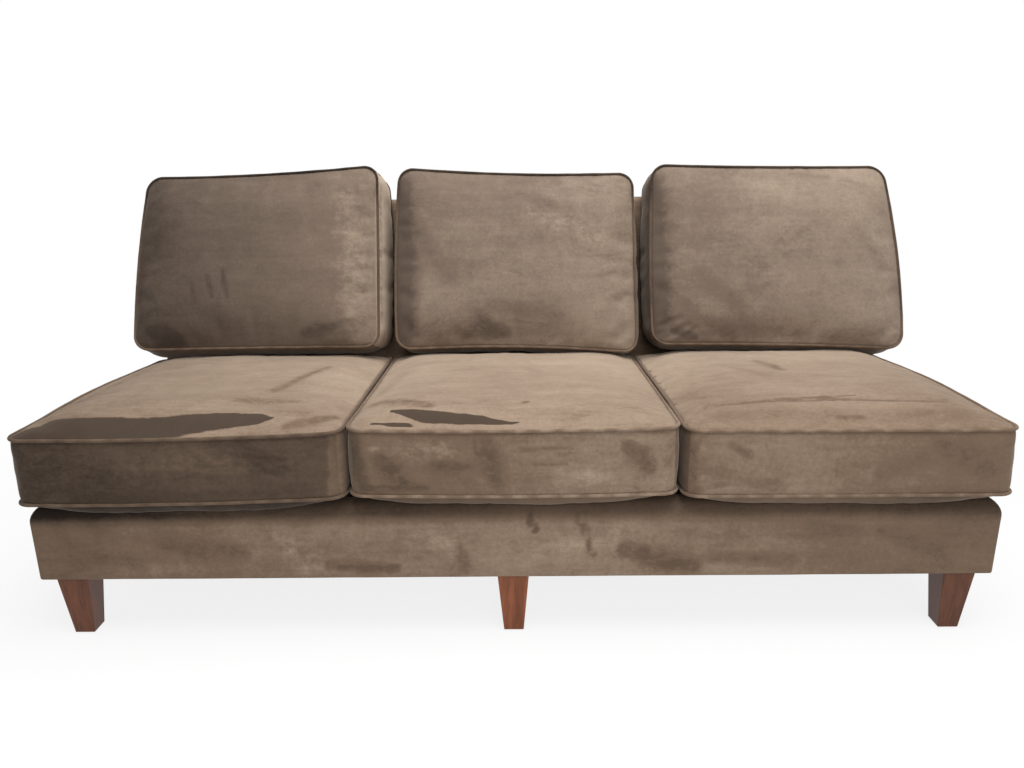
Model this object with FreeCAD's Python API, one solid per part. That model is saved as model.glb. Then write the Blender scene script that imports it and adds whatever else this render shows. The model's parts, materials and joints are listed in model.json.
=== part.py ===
"""Armless three-seat sofa: plywood frame, zigzag springs, covers, legs and six loose cushions.

Millimetres. +X is to the right as seen from the front, +Y to the back, +Z up.
The origin is on the floor, under the centre of the whole sofa.
"""

import FreeCAD
import Part
import math
import os
from FreeCAD import Vector

# Overall sizes
frame_width = 1980.0
overall_depth = 920.0
back_top_z = 862.0
underside_z = 138.0
deck_front_z = 304.0
deck_slope = 1.5
inside_back_lean = 14.5
outside_back_lean = 9.5

# Boards
ply = 22.0
base_board_t = 18.0
base_board_width = 100.0
cross_rail_height = 70.0
corner_block_leg = 80.0
corner_block_height = 70.0
lower_rail_t = 20.0
lower_rail_height = 50.0
lower_rail_rise = 40.0
top_rail_height = 60.0

# Upholstery on the frame
cover_t = 2.0
lip_width = 25.0
border_foam_t = 12.0
roll_radius = 36.0
border_corner_radius = 6.0
deck_border = 42.0
deck_pad_t = 20.0
spring_layer = 6.6
back_pad_t = 23.0
back_top_pad_t = 16.0
back_edge_radius = 14.0
strap_t = 1.5
strap_width = 50.0
strap_pitch = 98.0
strap_count = 5
dust_cover_t = 1.0
dust_cover_inset = 10.0

# Springs
springs_per_seat = 4
spring_pitch = 160.0
wire_diameter = 3.8
loop_width = 44.0
loop_pitch = 26.0
clip_t = 1.2
clip_length = 16.0
clip_width = 14.0
clip_play = 0.1

# Legs
leg_top = 65.0
leg_foot = 42.0
leg_setback = 3.0
leg_side_inset = 33.5
glide_diameter = 24.0
glide_t = 3.0
glide_nail_diameter = 3.0
glide_nail_length = 12.0
plate_size = 42.0
boss_diameter = 13.0
boss_height = 10.0
bolt_diameter = 8.0
bolt_in_leg = 35.0
bolt_end_gap = 1.0
boss_gap = 0.5
plate_screw_offset = 15.0
plate_screw_length = 14.0
screw_diameter = 4.0
screw_head_diameter = 8.0
screw_head_height = 2.4
frame_screw_length = 40.0

# Seat cushions
seat_pitch = 658.0
seat_depth = 700.0
seat_overhang = 25.0
seat_boxing = 136.0
seat_crown = 34.0
seat_belly_depth = 19.0
seat_corner_radius = 28.0
seat_crown_run = 180.0
seat_side_belly = 4.0
seat_side_draw = 2.5

# Back cushions
back_cushion_pitch = 664.0
back_cushion_height = 484.0
back_cushion_boxing = 140.0
back_front_crown = 42.0
back_rear_crown = 15.0
back_corner_radius = 36.0
back_crown_run = 150.0
back_side_belly = 10.0
back_end_belly = 16.0
back_side_draw = 3.0
back_flare = 0.0385

# Cushion piping and running gaps
piping_radius = 3.5
seat_piping_gap = 0.25
back_piping_gap = 1.7
cushion_gap = 1.0
rest_gap = 0.3
seat_rear_gap = 0.6

# Places worked out from the sizes
half_width = frame_width / 2
rail_y = seat_overhang - overall_depth / 2
slope = math.radians(deck_slope)
inner_lean = math.radians(inside_back_lean)
outer_lean = math.radians(outside_back_lean)
board_bottom_z = underside_z + cover_t
board_top_z = board_bottom_z + base_board_t
border_t = cover_t + border_foam_t
rail_outer_x = half_width - border_t
rail_inner_x = rail_outer_x - ply
back_foot_y = rail_y - seat_overhang + seat_depth + seat_rear_gap
post_depth_in = cover_t + back_pad_t + strap_t
seat_places = {"left": -1, "centre": 0, "right": 1}


def deck_z(y, below=0.0):
    """Height of the sloping deck plane at y, or of a plane that far below it."""
    return deck_front_z - (y - rail_y) * math.tan(slope) - below / math.cos(slope)


def inside_y(z, behind=0.0):
    """Depth of the inside back plane at height z, or of a plane that far behind it."""
    return back_foot_y + (z - deck_z(back_foot_y)) * math.tan(inner_lean) + behind / math.cos(inner_lean)


def outside_y(z, in_front=0.0):
    """Depth of the outside back plane at height z, or of a plane that far in front of it."""
    top_y = overall_depth / 2
    return top_y + (z - back_top_z) * math.tan(outer_lean) - in_front / math.cos(outer_lean)


def box(x0, x1, y0, y1, z0, z1):
    """Box between two corners."""
    return Part.makeBox(x1 - x0, y1 - y0, z1 - z0, Vector(x0, y0, z0))


def side_prism(points, x0, x1):
    """Side-view outline, as (y, z) points, extruded from x0 to x1."""
    corners = [Vector(x0, y, z) for y, z in points]
    face = Part.Face(Part.makePolygon(corners + [corners[0]]))
    return face.extrude(Vector(x1 - x0, 0, 0))


def on_deck(shape):
    """Moves a shape from the deck's own frame (y down the slope, z off it) into place."""
    placed = shape.copy()
    placed.rotate(Vector(0, 0, 0), Vector(1, 0, 0), -deck_slope)
    placed.translate(Vector(0, rail_y, deck_front_z))
    return placed


def on_back(shape):
    """Moves a shape from the inside back's frame (y into the back, z up it) into place."""
    placed = shape.copy()
    placed.rotate(Vector(0, 0, 0), Vector(1, 0, 0), -inside_back_lean)
    placed.translate(Vector(0, back_foot_y, deck_z(back_foot_y)))
    return placed


def back_rise(z):
    """Distance up the inside back's slope from the deck to height z."""
    return (z - deck_z(back_foot_y)) / math.cos(inner_lean)


def edges_at(shape, test):
    """Straight edges of a shape whose two ends pass a test."""
    return [e for e in shape.Edges if all(test(v.Point) for v in e.Vertexes)]


def near(value, target):
    """True where a coordinate is on a target, within a hair."""
    return abs(value - target) < 1e-4


def save(node, *solids):
    """Writes one node's solids to its STEP file."""
    shape = solids[0] if len(solids) == 1 else Part.makeCompound(list(solids))
    shape.exportStep(os.path.join("parts", node + ".step"))


def cut_all(shape, tools):
    """Shape with each tool's material taken out."""
    for tool in tools:
        shape = shape.cut(tool)
    return shape


# Wood screws

def screw(length):
    """Countersunk screw: head flush at z 0, shank up to z length."""
    head = Part.makeCone(screw_head_diameter / 2, screw_diameter / 2, screw_head_height)
    shank = Part.makeCylinder(screw_diameter / 2, length)
    return head.fuse(shank).removeSplitter()


def placed_screw(length, start, direction):
    """Screw driven from a point along a direction."""
    turned = screw(length)
    turn = FreeCAD.Rotation(Vector(0, 0, 1), Vector(*direction))
    turned.Placement = FreeCAD.Placement(Vector(*start), turn)
    return turned


# Frame of plywood boards

front_rail_y0 = rail_y + border_t
front_rail_y1 = front_rail_y0 + ply
post_front_y = inside_y(deck_z(back_foot_y), post_depth_in)
rear_rail_y0 = post_front_y - ply
board_rear_y = outside_y(board_bottom_z, cover_t)
rail_below_deck = cover_t + deck_pad_t + spring_layer
top_rail_top_z = back_top_z - cover_t - back_top_pad_t
top_rail_bottom_z = top_rail_top_z - top_rail_height


def base_boards():
    """Flat ring of four boards that the legs are screwed to: front, rear and the two sides."""
    front_y1 = front_rail_y0 + base_board_width
    rear_y0 = board_rear_y - base_board_width
    z0, z1 = board_bottom_z, board_top_z
    x = rail_outer_x
    front = box(-x, x, front_rail_y0, front_y1, z0, z1)
    rear_outline = [(rear_y0, z0), (board_rear_y, z0), (outside_y(z1, cover_t), z1), (rear_y0, z1)]
    rear = side_prism(rear_outline, -x, x)
    sides = [box(s * x - (s > 0) * base_board_width, s * x + (s < 0) * base_board_width,
                 front_y1, rear_y0, z0, z1) for s in (-1, 1)]
    return front, rear, sides


def sloped_rail(x0, x1, y0, y1):
    """Rail on the base boards whose top follows the deck."""
    outline = [(y0, board_top_z), (y1, board_top_z),
               (y1, deck_z(y1, rail_below_deck)), (y0, deck_z(y0, rail_below_deck))]
    return side_prism(outline, x0, x1)


def back_post(x0):
    """Raked back post: upright below the deck, then leaning with the inside back."""
    foot_z = board_top_z
    knee_z = deck_z(back_foot_y)
    outline = [(post_front_y, foot_z), (post_front_y, knee_z),
               (inside_y(top_rail_bottom_z, post_depth_in), top_rail_bottom_z),
               (outside_y(top_rail_bottom_z, cover_t), top_rail_bottom_z),
               (outside_y(foot_z, cover_t), foot_z)]
    return side_prism(outline, x0, x0 + ply)


def top_rail():
    """Rail along the top of the back, on the four posts."""
    outline = [(inside_y(top_rail_bottom_z, post_depth_in), top_rail_bottom_z),
               (inside_y(top_rail_top_z, post_depth_in), top_rail_top_z),
               (outside_y(top_rail_top_z, cover_t), top_rail_top_z),
               (outside_y(top_rail_bottom_z, cover_t), top_rail_bottom_z)]
    return side_prism(outline, -rail_outer_x, rail_outer_x)


def corner_block(x_sign, y_corner, y_sign):
    """Triangular block glued into an inner corner of the seat frame."""
    x = x_sign * rail_inner_x
    z0 = board_top_z
    corners = [Vector(x, y_corner, z0), Vector(x - x_sign * corner_block_leg, y_corner, z0),
               Vector(x, y_corner + y_sign * corner_block_leg, z0)]
    face = Part.Face(Part.makePolygon(corners + [corners[0]]))
    return face.extrude(Vector(0, 0, corner_block_height))


def frame_screws():
    """Screws through the blocks and through the rear rail into the posts."""
    screws = []
    block_z = board_top_z + corner_block_height / 2
    reach = corner_block_leg / 4
    for x_sign in (-1, 1):
        for y_corner, y_sign in ((front_rail_y1, 1), (rear_rail_y0, -1)):
            x = x_sign * rail_inner_x
            into_side = (x - x_sign * reach, y_corner + y_sign * 2 * reach, block_z)
            into_rail = (x - x_sign * 2 * reach, y_corner + y_sign * reach, block_z)
            length = reach + ply * 0.8
            screws.append(placed_screw(length, into_side, (x_sign, 0, 0)))
            screws.append(placed_screw(length, into_rail, (0, -y_sign, 0)))
    for x0 in post_places:
        for share in (0.3, 0.7):
            z = board_top_z + share * (deck_z(rear_rail_y0, rail_below_deck) - board_top_z)
            screws.append(placed_screw(frame_screw_length, (x0 + ply / 2, rear_rail_y0, z), (0, 1, 0)))
    return screws


inner_post_x = seat_pitch / 2
post_places = [-rail_outer_x, -inner_post_x - ply / 2, inner_post_x - ply / 2, rail_outer_x - ply]


def lower_rails():
    """Boards between the posts, just above the deck, that the inside back is tacked to."""
    z0 = back_rise(deck_z(back_foot_y)) + lower_rail_rise
    rails = []
    for left, right in zip(post_places, post_places[1:]):
        board = box(left + ply, right, post_depth_in, post_depth_in + lower_rail_t,
                    z0, z0 + lower_rail_height)
        rails.append(on_back(board))
    return rails


# Legs, their plates, bolts and glides

leg_height = underside_z - dust_cover_t - glide_t
leg_top_z = underside_z - dust_cover_t
front_leg_y = rail_y + leg_setback + leg_top / 2
rear_leg_y = outside_y(underside_z) - leg_setback - leg_top / 2
side_leg_x = half_width - leg_side_inset - leg_top / 2
leg_rows = {"front": front_leg_y, "rear": rear_leg_y}
leg_places = {f"{row}_{side}_leg": (sign * side_leg_x, y)
              for row, y in leg_rows.items() for side, sign in seat_places.items()}


def square(half, x, y, z):
    """Square wire of a half size, centred at x, y."""
    corners = [Vector(x + i * half, y + j * half, z) for i, j in ((-1, -1), (1, -1), (1, 1), (-1, 1))]
    return Part.makePolygon(corners + [corners[0]])


def leg(x, y):
    """Square leg that tapers evenly to its foot, bored for its bolt and its glide's nail."""
    ends = [square(leg_foot / 2, x, y, glide_t), square(leg_top / 2, x, y, leg_top_z)]
    wood = Part.makeLoft(ends, True, True)
    bolt_hole = Part.makeCylinder(bolt_diameter / 2, bolt_in_leg, Vector(x, y, leg_top_z - bolt_in_leg))
    nail_hole = Part.makeCylinder(glide_nail_diameter / 2, glide_nail_length, Vector(x, y, glide_t))
    return wood.cut(bolt_hole).cut(nail_hole)


def leg_bolt(x, y):
    """Hanger bolt, half in the leg and half in the plate's boss."""
    length = bolt_in_leg + plate_thickness + boss_height
    return Part.makeCylinder(bolt_diameter / 2, length, Vector(x, y, leg_top_z - bolt_in_leg))


def leg_plate(x, y):
    """Steel plate under the base board, with a threaded boss that stands up into it."""
    half = plate_size / 2
    plate = box(x - half, x + half, y - half, y + half, leg_top_z, board_bottom_z)
    boss = Part.makeCylinder(boss_diameter / 2, plate_thickness + boss_height, Vector(x, y, leg_top_z))
    bore = Part.makeCylinder(bolt_diameter / 2, plate_thickness + boss_height, Vector(x, y, leg_top_z))
    return plate.fuse(boss).cut(bore).removeSplitter()


def plate_spaces():
    """Room for every leg plate under the base boards."""
    half = plate_size / 2
    return [box(x - half, x + half, y - half, y + half, 0, board_bottom_z) for x, y in leg_places.values()]


def boss_hole(x, y):
    """Room in the base board for a plate's boss and the bolt's end."""
    depth = boss_height + bolt_end_gap
    return Part.makeCylinder(boss_diameter / 2 + boss_gap, depth, Vector(x, y, board_bottom_z))


def plate_screws(x, y):
    """Four screws up through a leg plate into the base board."""
    off = plate_screw_offset
    return [placed_screw(plate_screw_length, (x + i * off, y + j * off, leg_top_z), (0, 0, 1))
            for i in (-1, 1) for j in (-1, 1)]


def glide(x, y):
    """Nylon glide with its nail, under a leg."""
    disc = Part.makeCylinder(glide_diameter / 2, glide_t, Vector(x, y, 0))
    nail = Part.makeCylinder(glide_nail_diameter / 2, glide_nail_length, Vector(x, y, glide_t))
    return disc.fuse(nail).removeSplitter()


plate_thickness = board_bottom_z - leg_top_z


# Zigzag springs and their clips

spring_start = front_rail_y0 - rail_y + ply / 2
spring_end = rear_rail_y0 - rail_y + ply / 2
wire_centre = -rail_below_deck + clip_t + clip_play + wire_diameter / 2


def zigzag_spring(x):
    """Zigzag of straight runs across joined by half turns, from the front rail to the rear rail."""
    turns = 2 * int((spring_end - spring_start) / loop_pitch / 2)
    pitch = (spring_end - spring_start) / turns
    bend = pitch / 2
    reach = loop_width / 2 - bend
    edges = []
    for i in range(turns + 1):
        y = spring_start + i * pitch
        side = 1 if i % 2 == 0 else -1
        here = Vector(x + side * reach, y, wire_centre)
        edges.append(Part.LineSegment(Vector(x - side * reach, y, wire_centre), here).toShape())
        if i < turns:
            middle = Vector(x + side * (reach + bend), y + bend, wire_centre)
            there = Vector(x + side * reach, y + pitch, wire_centre)
            edges.append(Part.Arc(here, middle, there).toShape())
    path = Part.Wire(edges)
    start = path.Vertexes[0].Point
    section = Part.Wire(Part.Circle(start, Vector(1, 0, 0), wire_diameter / 2).toShape())
    return on_deck(path.makePipeShell([section], True, False))


def spring_clip(x, y):
    """Bent steel clip that holds the end run of a spring on its rail; open towards the seat."""
    inner = wire_diameter / 2 + clip_play
    outer = inner + clip_t
    toward = 1 if y < (spring_start + spring_end) / 2 else -1
    start = Vector(x - clip_width / 2, y, wire_centre)
    round_end = Part.makeCylinder(outer, clip_width, start, Vector(1, 0, 0))
    slot = Part.makeCylinder(inner, clip_width, start, Vector(1, 0, 0))
    y_far = y + toward * clip_length / 2
    y0, y1 = min(y, y_far), max(y, y_far)
    x0, x1 = x - clip_width / 2, x + clip_width / 2
    legs = box(x0, x1, y0, y1, wire_centre - outer, wire_centre + outer)
    gap = box(x0, x1, y0, y1, wire_centre - inner, wire_centre + inner)
    return on_deck(round_end.fuse(legs).cut(slot.fuse(gap)).removeSplitter())


spring_xs = [seat * seat_pitch + (i - (springs_per_seat - 1) / 2) * spring_pitch
             for seat in seat_places.values() for i in range(springs_per_seat)]


# Padding and covers of the seat frame

deck_half = half_width - deck_border
deck_y0 = rail_y + deck_border


def border_envelope(inset):
    """Outside of the seat border, inset by that much, with its rolled top edges."""
    x = half_width - inset
    y0 = rail_y + inset
    z0 = underside_z + inset
    z_rear = deck_z(back_foot_y, inset)
    outline = [(y0, z0), (back_foot_y, z0), (back_foot_y, z_rear), (y0, deck_z(y0, inset))]
    block = side_prism(outline, -x, x)
    rolled = edges_at(block, lambda p: p.z > z_rear - 1 and (near(p.y, y0) or near(abs(p.x), x)))
    rolled = [e for e in rolled if not all(near(v.Point.y, back_foot_y) for v in e.Vertexes)]
    uprights = edges_at(block, lambda p: near(p.y, y0) and near(abs(p.x), x))
    uprights = [e for e in uprights if near(e.Vertexes[0].Point.x, e.Vertexes[1].Point.x)]
    block = block.makeFillet(roll_radius - inset, rolled)
    uprights = edges_at(block, lambda p: near(p.y, y0) and near(abs(p.x), x))
    return block if not uprights else block.makeFillet(border_corner_radius - inset, uprights)


def border_pieces():
    """Front border and two side borders: covers with their lips, and the foam under them."""
    outer, inner = border_envelope(0.0), border_envelope(cover_t)
    x = half_width
    rear_past = back_foot_y + ply
    inner_z0 = underside_z + cover_t
    deck_hole = box(-deck_half, deck_half, deck_y0, rear_past, underside_z + cover_t, back_top_z)
    under_hole = box(-x + lip_width, x - lip_width, rail_y + lip_width, rear_past, 0, inner_z0)
    shell = cut_all(outer.cut(inner), [deck_hole, under_hole])
    foam_bottom = cover_t + deck_pad_t
    y0, y1 = rail_y + border_t, rear_past
    frame_space = side_prism([(y0, 0), (y1, 0), (y1, deck_z(y1, foam_bottom)), (y0, deck_z(y0, foam_bottom))],
                             -rail_outer_x, rail_outer_x)
    foam = cut_all(inner, [deck_hole, frame_space])
    foam = foam.cut(box(-x, x, rail_y, rear_past, 0, board_bottom_z))
    front_zone = box(-x, x, rail_y, deck_y0, 0, back_top_z)
    pieces = {"front": (shell.common(front_zone), foam.common(front_zone))}
    for side, sign in (("left", -1), ("right", 1)):
        zone = box(min(0, sign * x), max(0, sign * x), deck_y0, back_foot_y, 0, back_top_z)
        pieces[side] = (shell.common(zone), foam.common(zone))
    return pieces


def deck_layer(top, thickness):
    """Sheet or pad on the springs, between the borders, whose top is that far below the deck."""
    y1 = back_foot_y
    outline = [(deck_y0, deck_z(deck_y0, top)), (y1, deck_z(y1, top)),
               (y1, deck_z(y1, top + thickness)), (deck_y0, deck_z(deck_y0, top + thickness))]
    return side_prism(outline, -deck_half, deck_half)


def dust_cover():
    """Thin cloth stapled under the frame, cut out round the leg plates."""
    inset = dust_cover_inset
    sheet = box(-half_width + inset, half_width - inset, rail_y + inset,
                outside_y(underside_z, cover_t) - inset, underside_z - dust_cover_t, underside_z)
    return cut_all(sheet, plate_spaces())


# Padding and covers of the back

def back_outline(inset, z0):
    """Side view of the back, inset by that much, from height z0 up."""
    top = back_top_z - inset
    return [(inside_y(z0, inset), z0), (inside_y(top, inset), top),
            (outside_y(top, inset), top), (outside_y(z0, inset), z0)]


def rounded_back(inset, z0, x):
    """Solid of the back, inset by that much, with its two long top edges rounded."""
    block = side_prism(back_outline(inset, z0), -x, x)
    top = edges_at(block, lambda p: near(p.z, back_top_z - inset))
    top = [e for e in top if not near(e.Vertexes[0].Point.x, e.Vertexes[1].Point.x)]
    return block.makeFillet(back_edge_radius - inset, top)


seam_z = back_top_z - back_edge_radius - cover_t


def back_pieces():
    """Inside back cover, outside back cover and the pad between them and the frame."""
    x = half_width - cover_t
    z0 = deck_z(back_foot_y)
    far = 2 * overall_depth
    outer, inner = rounded_back(0.0, z0, x), rounded_back(cover_t, z0 - cover_t, x)
    behind = side_prism([(outside_y(z0, cover_t), z0), (outside_y(seam_z, cover_t), seam_z),
                         (far, seam_z), (far, z0)], -x, x)
    inside_cover = outer.cut(inner).cut(behind)
    pad_back = cover_t + back_pad_t
    core = side_prism([(inside_y(z0, pad_back), z0), (inside_y(top_rail_top_z, pad_back), top_rail_top_z),
                       (far, top_rail_top_z), (far, z0)], -x, x)
    pad = inner.cut(core).common(box(-x, x, -far, far, z0, far))
    sheet = [(outside_y(underside_z), underside_z), (outside_y(seam_z), seam_z),
             (outside_y(seam_z, cover_t), seam_z), (outside_y(underside_z, cover_t), underside_z)]
    return inside_cover, side_prism(sheet, -x, x), pad


def back_side_cover(sign):
    """End panel of the back, down to the underside, over the post."""
    x = half_width
    z_deck = deck_z(back_foot_y)
    outline = [(back_foot_y, underside_z), (back_foot_y, z_deck), (inside_y(back_top_z), back_top_z),
               (outside_y(back_top_z), back_top_z), (outside_y(underside_z), underside_z)]
    panel = side_prism(outline, min(sign * x, sign * (x - cover_t)), max(sign * x, sign * (x - cover_t)))
    top = edges_at(panel, lambda p: near(p.z, back_top_z))
    ends = [e for e in panel.Edges
            if len(e.Vertexes) == 2 and not near(e.Vertexes[0].Point.x, e.Vertexes[1].Point.x)
            and near(e.Vertexes[0].Point.z, back_top_z)]
    return panel.makeFillet(back_edge_radius, ends) if top and ends else panel


def back_side_wadding(sign):
    """Pad between the end panel and the post and rails, on one side."""
    x0, x1 = sorted((sign * rail_outer_x, sign * (half_width - cover_t)))
    pad_back = cover_t + back_pad_t
    foot_z = board_bottom_z
    front = back_foot_y
    outline = [(front, foot_z), (front, deck_z(back_foot_y)),
               (inside_y(deck_z(back_foot_y), pad_back), deck_z(back_foot_y)),
               (inside_y(top_rail_top_z, pad_back), top_rail_top_z),
               (outside_y(top_rail_top_z, cover_t), top_rail_top_z),
               (outside_y(foot_z, cover_t), foot_z)]
    return side_prism(outline, x0, x1)


def back_straps():
    """Elastic straps across the fronts of the posts."""
    first = back_rise(deck_z(back_foot_y)) + lower_rail_rise + lower_rail_height
    straps = []
    for i in range(strap_count):
        z0 = first + i * strap_pitch
        straps.append(on_back(box(-rail_outer_x, rail_outer_x, cover_t + back_pad_t, post_depth_in,
                                  z0, z0 + strap_width)))
    return straps


# Loose cushions, each built flat with its two panels facing down and up

def outline(half_u, half_v, radius, draw, w, flare):
    """Closed outline of a cushion at height w: four sides drawn in between four tangent corner arcs.

    flare is how far each side leans out per millimetre towards the foot.
    """
    lean = math.atan(flare)
    normal = math.cos(lean), math.sin(lean)
    bow_u = (half_u ** 2 + draw ** 2) / (2 * draw)
    bow_v = ((half_v / math.cos(lean)) ** 2 + draw ** 2) / (2 * draw)
    side = half_u - draw * normal[0], -draw * normal[1]
    side_centre = side[0] + bow_v * normal[0], side[1] + bow_v * normal[1]
    foot_centre = 0.0, -(half_v - draw + bow_u)
    head_centre = 0.0, half_v - draw + bow_u
    foot = circle_meeting(foot_centre, bow_u + radius, side_centre, bow_v + radius)
    head = circle_meeting(side_centre, bow_v + radius, head_centre, bow_u + radius)
    right = corner_points(foot_centre, bow_u, foot, radius, side_centre, bow_v)
    right += [side] + corner_points(side_centre, bow_v, head, radius, head_centre, bow_u)
    left = [(-u, v) for u, v in reversed(right)]
    loop = [(0.0, draw - half_v)] + right + [(0.0, half_v - draw)] + left
    points = [Vector(u, v, w) for u, v in loop]
    arcs = [Part.Arc(points[i - 1], points[i], points[(i + 1) % len(points)]) for i in range(0, len(points), 2)]
    return Part.Wire([arc.toShape() for arc in arcs])


def corner_points(centre_in, bow_in, corner, radius, centre_out, bow_out):
    """Start, middle and end of a corner arc that touches the two sides it joins."""
    start = toward(centre_in, corner, bow_in)
    end = toward(centre_out, corner, bow_out)
    middle = toward(corner, ((start[0] + end[0]) / 2, (start[1] + end[1]) / 2), radius)
    return [start, middle, end]


def circle_meeting(a, ra, b, rb):
    """Meeting point, to the left of the way from a to b, of two circles given by centre and radius."""
    dx, dy = b[0] - a[0], b[1] - a[1]
    span = math.hypot(dx, dy)
    along = (span ** 2 + ra ** 2 - rb ** 2) / (2 * span)
    off = math.sqrt(ra ** 2 - along ** 2)
    return a[0] + (along * dx - off * dy) / span, a[1] + (along * dy + off * dx) / span


def toward(start, end, length):
    """Point at a length from start towards end."""
    span = math.hypot(end[0] - start[0], end[1] - start[1])
    return start[0] + (end[0] - start[0]) * length / span, start[1] + (end[1] - start[1]) * length / span


def crown_height(crown, run, from_edge):
    """Height of a crowned panel above its seam, at a distance in from the edge."""
    return crown * math.sin(math.pi / 2 * min(1.0, max(0.0, from_edge) / run))


def cushion_body(sizes, inset):
    """Closed form of a cushion, inset by that much: boxing with a belly, and two crowned panels."""
    half_u, half_v, seam_low, seam_high, crown_low, crown_high, radius, run, bellies, draw, flare = sizes
    low, high = seam_low + inset, seam_high - inset
    middle = (low + high) / 2
    boxing = [outline(half_u - inset + share * bellies[0], half_v - inset + share * bellies[1],
                      radius - inset, draw, w, flare) for w, share in ((low, 0), (middle, 1), (high, 0))]
    body = Part.makeLoft(boxing, True, False)
    for seam, crown, sign in ((low, crown_low, -1), (high, crown_high, 1)):
        rings = []
        for share in (0.0, 0.18, 0.42, 0.7, 1.0):
            run_in = run * share
            height = seam + sign * crown_height(crown, run, run_in)
            rings.append(outline(half_u - inset - run_in, half_v - inset - run_in,
                                 radius - inset + run_in * 0.35, draw * (1 - share * 0.6), height, flare))
        body = body.fuse(Part.makeLoft(rings, True, False))
    return body.removeSplitter()


def piping(sizes, gap, seam):
    """Round piping just outside a seam, all the way round."""
    half_u, half_v, radius, draw, flare = sizes[0], sizes[1], sizes[6], sizes[9], sizes[10]
    out = piping_radius + gap
    path = outline(half_u + out, half_v + out, radius + out, draw, seam, flare)
    start = path.Edges[0].valueAt(path.Edges[0].FirstParameter)
    tangent = path.Edges[0].tangentAt(path.Edges[0].FirstParameter)
    section = Part.Wire(Part.Circle(start, tangent, piping_radius).toShape())
    return path.makePipeShell([section], True, False)


def cushion(sizes, gap, place):
    """Cover, core and two pipings of a cushion, moved into place."""
    body, core = cushion_body(sizes, 0.0), cushion_body(sizes, cover_t)
    seams = [piping(sizes, gap, seam) for seam in sizes[2:4]]
    return place(body.cut(core)), place(core), [place(s) for s in seams]


seat_piping_out = 2 * piping_radius + seat_piping_gap
back_piping_out = 2 * piping_radius + back_piping_gap
seat_half_u = (seat_pitch - cushion_gap) / 2 - seat_piping_out
seat_half_v = seat_depth / 2 - seat_piping_out
seat_low = seat_belly_depth + rest_gap
seat_high = seat_low + seat_boxing
seat_sizes = (seat_half_u, seat_half_v, seat_low, seat_high, seat_belly_depth, seat_crown,
              seat_corner_radius, seat_crown_run, (seat_side_belly, seat_side_belly), seat_side_draw, 0.0)
seat_centre_v = -seat_overhang + seat_depth / 2

back_half_v = back_cushion_height / 2 - back_piping_out
back_half_u = (back_cushion_pitch - cushion_gap) / 2 - back_side_belly - back_flare * back_half_v
back_low = back_rear_crown + rest_gap
back_high = back_low + back_cushion_boxing
back_sizes = (back_half_u, back_half_v, back_low, back_high, back_rear_crown, back_front_crown,
              back_corner_radius, back_crown_run, (back_side_belly, back_end_belly), back_side_draw, back_flare)


def seat_place(seat):
    """Puts a seat cushion on the deck at its seat."""
    def place(shape):
        moved = shape.copy()
        moved.translate(Vector(seat * seat_pitch, seat_centre_v, 0))
        return on_deck(moved)
    return place


def seat_top(y):
    """Height of the crowned top of a seat cushion, or of its rear piping, at depth y."""
    along = (y - rail_y) / math.cos(slope)
    from_rear = -seat_overhang + seat_depth - seat_piping_out - along
    if from_rear < -seat_piping_out:
        return -math.inf
    height = seat_high + crown_height(seat_crown, seat_crown_run, from_rear)
    height = max(height, seat_high + piping_radius) if from_rear < seat_piping_out else height
    return deck_z(y) + height / math.cos(slope)


def clears_seat(rise):
    """True where a back cushion raised that far up the inside back is clear of the seat cushion."""
    steps = 60
    for i in range(steps + 1):
        out = back_low - piping_radius + (back_cushion_boxing + 2 * piping_radius) * i / steps
        across = min(1.0, abs(out - (back_low + back_high) / 2) / (back_cushion_boxing / 2))
        belly_foot = back_piping_out - back_end_belly * (1 - across ** 2)
        under_piping = min(abs(out - back_low), abs(out - back_high)) <= piping_radius
        up = rise + min(belly_foot, 0.0 if under_piping else belly_foot)
        y = back_foot_y - out * math.cos(inner_lean) + up * math.sin(inner_lean)
        z = deck_z(back_foot_y) + out * math.sin(inner_lean) + up * math.cos(inner_lean)
        if z < seat_top(y):
            return False
    return True


def back_cushion_rise():
    """How far up the inside back the foot of a back cushion is when it rests on the seat cushion."""
    step = rest_gap / 2
    rise = seat_high + seat_crown + back_piping_out
    while clears_seat(rise - step):
        rise -= step
    return rise + rest_gap


def back_place(seat):
    """Stands a back cushion on the seat cushion, against the inside back."""
    def place(shape):
        moved = shape.copy()
        moved.translate(Vector(0, back_half_v + back_piping_out, 0))
        moved.rotate(Vector(0, 0, 0), Vector(1, 0, 0), 90)
        moved.translate(Vector(seat * back_cushion_pitch, 0, back_rest_rise))
        return on_back(moved)
    return place


back_rest_rise = back_cushion_rise()


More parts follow.
